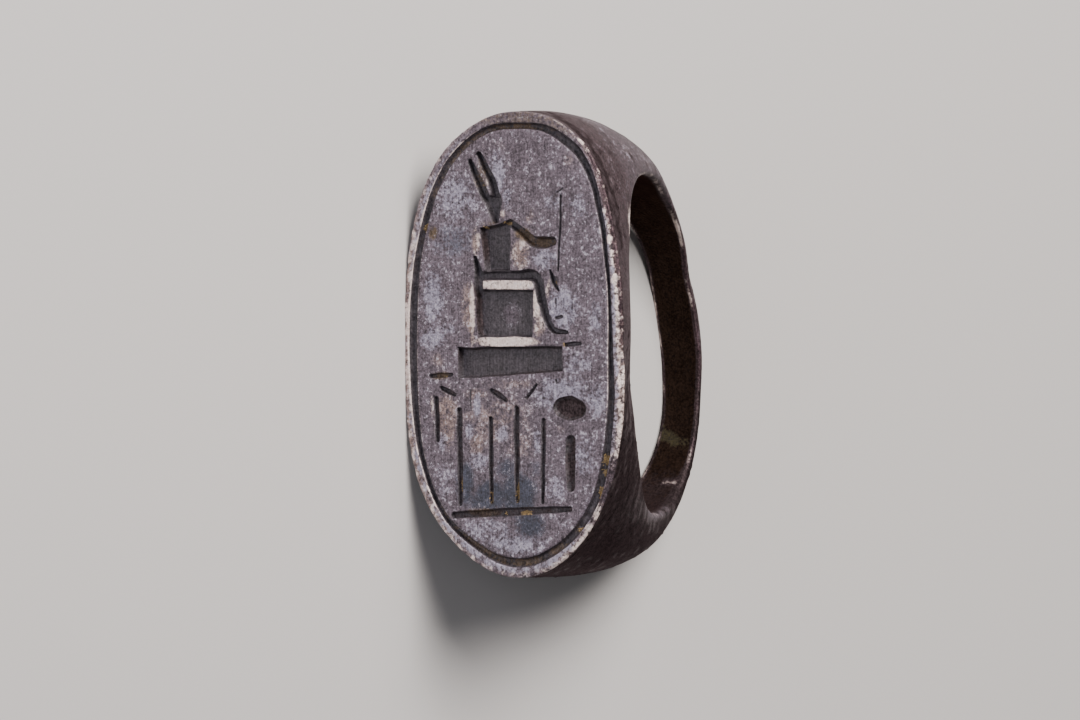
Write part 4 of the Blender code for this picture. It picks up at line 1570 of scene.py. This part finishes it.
    def hole_wall(self, mesh: CastingMesh, near: tuple[Array, Array], far: tuple[Array, Array]) -> None:
        """Builds the wall of the finger hole between its two edges.

        Args:
            mesh: The casting so far.
            near: Numbers and points of the near edge.
            far: Numbers and points of the far edge.
        """
        share = np.linspace(0, 1, self.wall_steps + 1)[1:-1][None, :, None]
        points = near[1][:, None, :] * (1 - share) + far[1][:, None, :] * share
        inner = mesh.add(points, self.hoop.inside(points, share[..., 0]))
        mesh.skin(np.column_stack([near[0], inner, far[0]]))

    def build(self) -> bpy.types.Object:
        """Builds the whole casting.

        Returns:
            One closed mesh, before its wear.
        """
        mesh = CastingMesh()
        slab, rim, boundary = self.rim_loops(mesh)
        self.seal_face(mesh, rim, boundary)
        self.sides(mesh, slab)
        return mesh.laid_object("casting_before_wear", self.form)

    def dress(self, casting: bpy.types.Object, finish: bpy.types.Material) -> bpy.types.Object:
        """Wears the casting, gives it its finish and puts it in the frame.

        Args:
            casting: The casting as built. It is removed.
            finish: Its material.

        Returns:
            The finished ring.
        """
        wear = self.wear
        sizes = {
            "Wave Size": wear.wave_size * MM, "Wave Depth": wear.wave_depth * MM,
            "Pit Size": wear.pit_size * MM, "Pit Depth": wear.pit_depth * MM,
            "Floor": 0.0, "Seed": SEED, "Finish": finish,
        }
        ring = run_tree(casting, wear.tree(), sizes, "silver_ring")
        bpy.data.objects.remove(casting)
        shaped = bmesh.new()
        shaped.from_mesh(ring.data)
        bmesh.ops.recalc_face_normals(shaped, faces=shaped.faces)
        shaped.to_mesh(ring.data)
        shaped.free()
        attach(ring, "root")
        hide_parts(NODE)
        return ring


# Earth left in the cuts


@dataclass(frozen=True)
class EarthCrumbs:
    """Crumbs of gold-brown burial earth that still sit in the groove and the cuts, in mm."""

    size: float = 0.07
    density: float = 60.0
    lump_height: float = 0.05
    lump_spacing: float = 1 / 9
    least_earth: float = 0.4
    # Least and most of a crumb's turn about each axis, and of its scale.
    turns: tuple[Triple, ...] = ((0.0, 0.0, 0.0), (6.28, 6.28, 6.28))
    scales: tuple[Triple, ...] = ((0.35, 0.35, 0.25), (1.1, 1.0, 0.7))

    def tree(self) -> Tree:
        """Makes the Geometry Nodes that scatter lumpy crumbs where earth is left.

        Returns:
            The tree.
        """
        tree = new_tree("earth_crumbs", ("Crumb Size", "Density", "Lump Height", "Lump Spacing"))
        given = add_node(tree, "NodeGroupInput")
        mark = {"Name": Mark.EARTH.value}
        earth = add_node(tree, "GeometryNodeInputNamedAttribute", mark, data_type="FLOAT")[0]
        strong = add_node(tree, MATH, {0: earth, 1: self.least_earth}, operation="GREATER_THAN")[0]
        share = add_node(tree, MATH, {0: strong, 1: earth}, operation="MULTIPLY")[0]
        dense = add_node(tree, MATH, {0: share, 1: given["Density"]}, operation="MULTIPLY")[0]
        spread = {"Mesh": given["Geometry"], "Density": dense, "Seed": given["Seed"]}
        points = add_node(tree, "GeometryNodeDistributePointsOnFaces", spread, distribute_method="RANDOM")[0]
        ball = {"Radius": given["Crumb Size"], "Subdivisions": 2}
        ball = add_node(tree, "GeometryNodeMeshIcoSphere", ball)["Mesh"]
        laid = {"Points": points, "Instance": ball}
        for name, (least, most) in (("Rotation", self.turns), ("Scale", self.scales)):
            chance = {"Min": least, "Max": most, "Seed": given["Seed"]}
            chance = add_node(tree, "FunctionNodeRandomValue", chance, data_type="FLOAT_VECTOR")
            laid[name] = chance["Value"]
        laid = add_node(tree, "GeometryNodeInstanceOnPoints", laid)[0]
        real = add_node(tree, "GeometryNodeRealizeInstances", {0: laid})[0]
        place = add_node(tree, "GeometryNodeInputPosition")[0]
        pace = add_node(tree, MATH, {0: 1.0, 1: given["Lump Spacing"]}, operation="DIVIDE")[0]
        lumpy = {"Vector": place, "Scale": pace, "Detail": 2.0}
        lumpy = add_node(tree, "ShaderNodeTexNoise", lumpy)["Color"]
        away = add_node(tree, "ShaderNodeVectorMath", {0: lumpy, 1: (0.5, 0.5, 0.5)}, operation="SUBTRACT")[0]
        lump = {0: away, "Scale": given["Lump Height"]}
        offset = add_node(tree, "ShaderNodeVectorMath", lump, operation="SCALE")[0]
        rough = add_node(tree, "GeometryNodeSetPosition", {"Geometry": real, "Offset": offset})[0]
        end_tree(tree, rough, given["Finish"])
        return tree

    def build(self, ring: bpy.types.Object, finish: bpy.types.Material) -> bpy.types.Object:
        """Scatters the crumbs over the ring and puts them in the frame.

        Args:
            ring: The finished ring, with its marks.
            finish: The crumbs' material.

        Returns:
            The crumbs as one piece.
        """
        sizes = {
            "Crumb Size": self.size * MM, "Density": self.density / MM**2,
            "Lump Height": self.lump_height * MM, "Lump Spacing": self.lump_spacing * MM,
            "Seed": SEED, "Finish": finish,
        }
        crumbs = run_tree(ring, self.tree(), sizes, "earth_crumbs")
        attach(crumbs, "root")
        return crumbs


# Finishes


@dataclass(frozen=True)
class Coat:
    """One coat of the silver's patina, laid over the coats before it where its mark is strong.

    The grain and the cloud of the patina shift where the coat starts and covers, by grit and drift.
    """

    mark: Mark | None
    dark: str
    light: str
    metallic: float
    roughness: float
    starts: float = 0.3
    covers: float = 0.7
    grit: float = 0.3
    drift: float = 0.3


@dataclass(frozen=True)
class TarnishedSilver:
    """Old cast silver: bare where it is rubbed, otherwise clouded with sulphide and chloride.

    Sulphide tarnish gives a dull mauve-grey to black skin. Chloride, or horn silver, is a pale
    lilac crust with a sugary grain. Rubbed edges show warm white metal. Some of that white metal
    is painted highlight, and some of the black films and the grey tint of the hoop's reflections
    are painted shade.
    """

    coats: tuple[Coat, ...] = (
        # Grey sulphide skin of the face, then the browner skin of the hoop.
        Coat(None, "#2b2329", "#857883", 0.3, 0.5),
        Coat(Mark.HOOP, "#171012", "#604d53", 0.5, 0.45, 0.3, 0.7, 0.2, 0.2),
        # Warm pinkish skin where the metal nearly shows, and pale horn silver.
        Coat(Mark.WARM, "#574640", "#bfa396", 0.4, 0.5, 0.3, 1.0, 0.5, 0.6),
        Coat(Mark.BLOOM, "#4d4956", "#b7b1c4", 0.2, 0.6, 0.35, 1.0, 0.85, 0.8),
        # Blue-black stain, and metal rubbed white, which also carries painted highlights.
        Coat(Mark.STAIN, "#202127", "#535565", 0.35, 0.5, 0.2, 0.95, 0.4, 0.5),
        Coat(Mark.BARE_AND_HIGHLIGHT, "#c6afa8", "#fff1ea", 0.25, 0.4, 0.4, 0.85, 0.35, 0.3),
        # Dark floors of the cuts, brown oxide, olive film, and black films that are partly painted shade.
        Coat(Mark.CUT, "#19161a", "#5c555b", 0.2, 0.5, 0.25, 0.75, 0.2, 0.1),
        Coat(Mark.BROWN, "#261c17", "#76634f", 0.3, 0.6, 0.4, 0.9, 0.5, 0.5),
        Coat(Mark.SOOT_AND_SHADE, "#1a1617", "#5c5052", 1.0, 0.6, 0.15, 0.8, 0.4, 0.6),
        Coat(Mark.INSIDE, "#120c0a", "#42342d", 1.0, 0.55, 0.3, 0.8, 0.2, 0.2),
        Coat(Mark.OLIVE, "#1c190e", "#453f2a", 0.2, 0.6, 0.4, 0.8, 0.4, 0.7),
        # Dried gold-brown earth.
        Coat(Mark.EARTH, "#5d4b2f", "#a48b62", 0.0, 0.8, 0.5, 0.9, 0.5, 0.5),
    )
    # Sizes of the grain, the blotches and, along three axes, the brushed streaks, in mm.
    grain: float = 0.14
    blotch: float = 0.75
    streak: Triple = (1.6, 0.09, 0.5)
    lean: float = math.pi / 2 - RingForm.rest_tilt
    # For grain, blotches and streaks: detail, reach to each side of the middle, and share in the tone.
    details: Triple = (3.0, 7.0, 3.0)
    reaches: Triple = (0.13, 0.2, 0.17)
    shares: Triple = (0.52, 0.36, 0.42)
    sharp: float = 0.62
    tone: float = -0.15
    calmer: float = -0.3
    # Specks of horn silver and dark pits, both from one noise.
    speck: float = 0.21
    speck_detail: float = 4.0
    speck_sharp: float = 0.7
    grit_levels: Pair = (0.36, 0.64)
    light_levels: Pair = (0.645, 0.71)
    light_crowding: float = 0.12
    light_strength: float = 0.75
    light_less: tuple[tuple[Mark, float], ...] = ((Mark.CUT, -0.7), (Mark.HOOP, -1.2), (Mark.STAIN, -0.5))
    light_colour: str = "#cac3cf"
    pit_level: float = 0.405
    pit_rough: float = 0.08
    pit_fade: float = 0.07
    pit_strength: float = 0.7
    pit_colour: str = "#1e191a"
    bump: float = 0.03
    bump_strength: float = 0.55
    speck_relief: float = 2.0
    # Grey tint of the hoop's reflections, partly painted shade.
    dimmed_reflection: tuple[str, str] = ("#ffffff", "#b9b2b4")

    def patterns(self, tree: Tree) -> tuple[list[Socket], Socket]:
        """Adds the noises of the patina.

        Args:
            tree: The material's tree.

        Returns:
            Grain, blotches and streaks, each from 0 to 1, and the bare noise of the specks.
        """
        place = add_node(tree, "ShaderNodeTexCoord")["Object"]
        sizes = [size * MM for size in self.streak]
        brushed = {"Vector": place, "Rotation": (self.lean, 0.0, 0.0), "Scale": sizes}
        brushed = add_node(tree, "ShaderNodeMapping", brushed, vector_type="TEXTURE")[0]
        made = []
        spreads = ((place, 1 / (self.grain * MM)), (place, 1 / (self.blotch * MM)), (brushed, 1.0))
        for (vector, pace), detail, reach in zip(spreads, self.details, self.reaches):
            noise = {"Vector": vector, "Scale": pace, "Detail": detail, "Roughness": self.sharp}
            noise = add_node(tree, "ShaderNodeTexNoise", noise)[0]
            spread = {"Value": noise, "From Min": 0.5 - reach, "From Max": 0.5 + reach}
            made.append(add_node(tree, "ShaderNodeMapRange", spread)[0])
        speck = {"Vector": place, "Scale": 1 / (self.speck * MM), "Detail": self.speck_detail}
        speck["Roughness"] = self.speck_sharp
        return made, add_node(tree, "ShaderNodeTexNoise", speck)[0]

    def skin_tone(self, tree: Tree, patterns: list[Socket], marks: dict[Mark, Socket]) -> Socket:
        """Mixes the patterns into one tone, with the brushed streaks weaker off the face.

        Args:
            tree: The material's tree.
            patterns: Grain, blotches and streaks.
            marks: The ring's marks.

        Returns:
            The tone, which is 0 for a coat's dark colour and 1 for its light one.
        """
        tone = self.tone
        for pattern, share in zip(patterns, self.shares):
            tone = add_node(tree, MATH, {0: pattern, 1: share, 2: tone}, operation="MULTIPLY_ADD")[0]
        away = {0: marks[Mark.HOOP], 1: marks[Mark.ROUGH]}
        away = add_node(tree, MATH, away, operation="MAXIMUM")[0]
        calm = add_node(tree, MATH, {0: patterns[2], 1: 0.5}, operation="SUBTRACT")[0]
        weight = add_node(tree, MATH, {0: away, 1: self.calmer}, operation="MULTIPLY")[0]
        return add_node(tree, MATH, {0: calm, 1: weight, 2: tone}, operation="MULTIPLY_ADD")[0]

    def laid_coats(
        self, tree: Tree, tone: Socket, swayed: tuple[Socket, Socket], marks: dict[Mark, Socket]
    ) -> list[Socket]:
        """Lays the coats over each other.

        Args:
            tree: The material's tree.
            tone: Where each coat is light or dark.
            swayed: The grit and the cloud that shift the coats' edges.
            marks: The ring's marks.

        Returns:
            Colour, metallic and roughness.
        """
        laid = []
        for coat in self.coats:
            shade = {0: tone, 6: linear(coat.dark), 7: linear(coat.light)}
            shade = add_node(tree, "ShaderNodeMix", shade, data_type="RGBA")[2]
            if coat.mark is None:
                laid = [shade, coat.metallic, coat.roughness]
                continue
            level = marks[coat.mark]
            for pattern, sway in zip(swayed, (coat.grit, coat.drift)):
                level = add_node(tree, MATH, {0: pattern, 1: sway, 2: level}, operation="MULTIPLY_ADD")[0]
            middle = (coat.grit + coat.drift) / 2
            cover = {"Value": level, "From Min": coat.starts + middle, "From Max": coat.covers + middle}
            cover = add_node(tree, "ShaderNodeMapRange", cover, interpolation_type="SMOOTHSTEP")[0]
            laid = [
                add_node(tree, "ShaderNodeMix", {0: cover, 6: laid[0], 7: shade}, data_type="RGBA")[2],
                add_node(tree, "ShaderNodeMix", {0: cover, 2: laid[1], 3: coat.metallic})[0],
                add_node(tree, "ShaderNodeMix", {0: cover, 2: laid[2], 3: coat.roughness})[0],
            ]
        return laid

    def speckled(
        self, tree: Tree, colour: Socket, speck: Socket, cloud: Socket, marks: dict[Mark, Socket]
    ) -> Socket:
        """Adds light specks of horn silver and dark dirt in the pits.

        Args:
            tree: The material's tree.
            colour: Colour of the coats.
            speck: The noise of the specks.
            cloud: The blotches, where light specks crowd.
            marks: The ring's marks.

        Returns:
            The speckled colour.
        """
        crowd = {0: cloud, 1: self.light_crowding, 2: speck}
        crowd = add_node(tree, MATH, crowd, operation="MULTIPLY_ADD")[0]
        light = {"Value": crowd, "From Min": self.light_levels[0], "From Max": self.light_levels[1]}
        light = add_node(tree, "ShaderNodeMapRange", light)[0]
        level = self.light_strength
        for mark, less in self.light_less:
            level = add_node(tree, MATH, {0: marks[mark], 1: less, 2: level}, operation="MULTIPLY_ADD")[0]
        light = add_node(tree, MATH, {0: light, 1: level}, operation="MULTIPLY", use_clamp=True)[0]
        tint = {0: light, 6: colour, 7: linear(self.light_colour)}
        colour = add_node(tree, "ShaderNodeMix", tint, data_type="RGBA")[2]
        low = {0: marks[Mark.ROUGH], 1: self.pit_rough, 2: self.pit_level}
        low = add_node(tree, MATH, low, operation="MULTIPLY_ADD")[0]
        least = add_node(tree, MATH, {0: low, 1: self.pit_fade}, operation="SUBTRACT")[0]
        hollow = add_node(tree, "ShaderNodeMapRange", {"Value": speck, "From Min": low, "From Max": least})[0]
        sunk = add_node(tree, "ShaderNodeAttribute", attribute_name=PIT)["Fac"]
        dark = add_node(tree, MATH, {0: hollow, 1: sunk}, operation="MAXIMUM")[0]
        dirt = {0: dark, 1: self.pit_strength}
        dirt = add_node(tree, MATH, dirt, operation="MULTIPLY", use_clamp=True)[0]
        tint = {0: dirt, 6: colour, 7: linear(self.pit_colour)}
        return add_node(tree, "ShaderNodeMix", tint, data_type="RGBA")[2]

    def build(self) -> bpy.types.Material:
        """Makes the material.

        Returns:
            The material.
        """
        material = bpy.data.materials.new("tarnished_silver")
        material.use_nodes = True
        tree = material.node_tree
        shader = tree.nodes["Principled BSDF"]
        marks = {
            mark: add_node(tree, "ShaderNodeAttribute", attribute_name=mark.value)["Fac"] for mark in Mark
        }
        patterns, speck = self.patterns(tree)
        grit = {"Value": speck, "From Min": self.grit_levels[0], "From Max": self.grit_levels[1]}
        grit = add_node(tree, "ShaderNodeMapRange", grit)[0]
        tone = self.skin_tone(tree, patterns, marks)
        colour, metallic, roughness = self.laid_coats(tree, tone, (grit, patterns[1]), marks)
        colour = self.speckled(tree, colour, speck, patterns[1], marks)
        height = {0: speck, 1: self.speck_relief, 2: patterns[0]}
        height = add_node(tree, MATH, height, operation="MULTIPLY_ADD")[0]
        bump = {"Height": height, "Strength": self.bump_strength, "Distance": self.bump * MM}
        bump = add_node(tree, "ShaderNodeBump", bump)[0]
        # The hoop's reflections are tinted grey: partly the dull sulphide film, partly painted shade that
        # keeps them dark as in a dark room.
        dimmed_reflection = {0: marks[Mark.HOOP], 6: linear(self.dimmed_reflection[0]), 7: linear(self.dimmed_reflection[1])}
        dimmed_reflection = add_node(tree, "ShaderNodeMix", dimmed_reflection, data_type="RGBA")[2]
        for socket, value in (
            ("Base Color", colour), ("Metallic", metallic), ("Roughness", roughness), ("Normal", bump),
            ("Specular Tint", dimmed_reflection),
        ):
            tree.links.new(value, shader.inputs[socket])
        return material


@dataclass(frozen=True)
class DriedEarth:
    """Dried burial earth, gold-brown and granular, with no shine."""

    dark: str = "#634f30"
    light: str = "#c4a673"
    grain: float = 0.05
    bump: float = 0.02
    bump_strength: float = 0.7
    roughness: float = 0.85

    def build(self) -> bpy.types.Material:
        """Makes the material.

        Returns:
            The material.
        """
        material = bpy.data.materials.new("dried_earth")
        material.use_nodes = True
        tree = material.node_tree
        shader = tree.nodes["Principled BSDF"]
        place = add_node(tree, "ShaderNodeTexCoord")["Object"]
        noise = {"Vector": place, "Scale": 1 / (self.grain * MM), "Detail": 4.0}
        noise = add_node(tree, "ShaderNodeTexNoise", noise)[0]
        tone = add_node(tree, "ShaderNodeMapRange", {"Value": noise, "From Min": 0.3, "From Max": 0.7})[0]
        shade = {0: tone, 6: linear(self.dark), 7: linear(self.light)}
        shade = add_node(tree, "ShaderNodeMix", shade, data_type="RGBA")[2]
        bump = {"Height": noise, "Strength": self.bump_strength, "Distance": self.bump * MM}
        bump = add_node(tree, "ShaderNodeBump", bump)[0]
        tree.links.new(shade, shader.inputs["Base Color"])
        tree.links.new(bump, shader.inputs["Normal"])
        shader.inputs["Roughness"].default_value = self.roughness
        return material


# Studio


@dataclass(frozen=True)
class SoftLight:
    """A square lamp with a soft edge, placed by directions of the view, in mm and watts."""

    name: str
    right: float
    up: float
    front: float
    distance: float
    size: float
    power: float
    colour: str = "#ffffff"


@dataclass
class Studio:
    """A pale floor, soft lamps and a long lens that looks down on the ring.

    The floor's size and the lens's clips are in metres, and the other sizes in mm.
    """

    form: RingForm
    view_turn: float = math.radians(29.42)
    view_width: float = 64.9
    aim_right: float = 1.641
    aim_up: float = -0.962
    lens_distance: float = 950.0
    film_width: float = 36.0
    clip: Pair = (0.01, 50.0)
    floor_size: float = 3.0
    floor_colour: str = "#c9c7c5"
    floor_roughness: float = 0.9
    room_colour: str = "#c8c6c8"
    room_strength: float = 0.2
    lights: tuple[SoftLight, ...] = (
        SoftLight("key", 0.55, 0.65, 0.6, 320.0, 200.0, 2.35, "#fff8f4"),
        SoftLight("front_fill", -0.6, 0.15, 1.0, 420.0, 300.0, 0.75, "#f4f4ff"),
    )

    def axes(self) -> tuple[Vector, Vector, Vector]:
        """Works out the view's directions.

        Returns:
            Right, up and towards the lens, as directions of the frame.
        """
        out = self.form.direction(0, 0, -1)
        aside = self.form.direction(1, 0, 0)
        towards = (out * math.cos(self.view_turn) + aside * math.sin(self.view_turn)).normalized()
        right = (aside * math.cos(self.view_turn) - out * math.sin(self.view_turn)).normalized()
        return right, self.form.direction(0, 1, 0), towards

    def aim(self) -> Vector:
        """Works out the middle of the view.

        Returns:
            Its place in the frame.
        """
        right, up, _ = self.axes()
        middle = Vector(self.form.laid_down(np.zeros((1, 3)))[0])
        return middle + (right * self.aim_right + up * self.aim_up) * MM

    def turn_to(self, thing: bpy.types.Object, place: Vector, up: Vector, back: Vector) -> None:
        """Places a lamp or camera and turns it.

        Args:
            thing: The lamp or camera.
            place: Where it stands.
            up: Roughly which way its top points.
            back: Which way its back points.
        """
        side = up.cross(back).normalized()
        above = back.cross(side).normalized()
        turned = Matrix((side, above, back)).transposed().to_4x4()
        thing.matrix_world = Matrix.Translation(place) @ turned

    def lay_floor(self) -> None:
        """Lays a square of pale paper under the ring."""
        half = self.floor_size / 2
        mesh = bpy.data.meshes.new("floor")
        corners = [(-half, -half, 0), (half, -half, 0), (half, half, 0), (-half, half, 0)]
        mesh.from_pydata(corners, [], [(0, 1, 2, 3)])
        paper = bpy.data.materials.new("pale_paper")
        paper.use_nodes = True
        shader = paper.node_tree.nodes["Principled BSDF"]
        shader.inputs["Base Color"].default_value = linear(self.floor_colour)
        shader.inputs["Roughness"].default_value = self.floor_roughness
        mesh.materials.append(paper)
        floor = link_object("floor", mesh)

    def light_room(self) -> None:
        """Gives the room its even light."""
        world = bpy.data.worlds.new("studio")
        world.use_nodes = True
        bpy.context.scene.world = world
        sky = world.node_tree.nodes["Background"]
        sky.inputs["Color"].default_value = linear(self.room_colour)
        sky.inputs["Strength"].default_value = self.room_strength

    def build(self) -> None:
        """Sets the floor, the room's light, the lamps and the camera."""
        right, up, towards = self.axes()
        self.lay_floor()
        self.light_room()
        for lamp in self.lights:
            data = bpy.data.lights.new(lamp.name, "AREA")
            data.size = lamp.size * MM
            data.energy = lamp.power
            data.color = linear(lamp.colour)[:3]
            away = (right * lamp.right + up * lamp.up + towards * lamp.front).normalized()
            self.turn_to(link_object(lamp.name, data), self.aim() + away * lamp.distance * MM, right, away)
        data = bpy.data.cameras.new("long_lens")
        data.sensor_width = self.film_width
        data.lens = self.film_width * self.lens_distance / self.view_width
        data.clip_start, data.clip_end = self.clip
        camera = link_object("long_lens", data)
        self.turn_to(camera, self.aim() + towards * self.lens_distance * MM, up, towards)
        bpy.context.scene.camera = camera


def main() -> None:
    """Builds the ring, the earth left on it and the studio, in that order."""
    logging.basicConfig(level=logging.INFO, format="%(name)s: %(message)s")
    ring = SealRing()
    casting = ring.build()
    LOG.info("casting: %d points", len(casting.data.vertices))
    silver = ring.dress(casting, TarnishedSilver().build())
    silver.data.calc_loop_triangles()
    LOG.info("silver ring: %d triangles", len(silver.data.loop_triangles))
    crumbs = EarthCrumbs().build(silver, DriedEarth().build())
    LOG.info("earth crumbs: %d faces", len(crumbs.data.polygons))
    Studio(ring.form).build()
    LOG.info("studio: floor, lamps and camera")


if __name__ == "__main__":
    main()
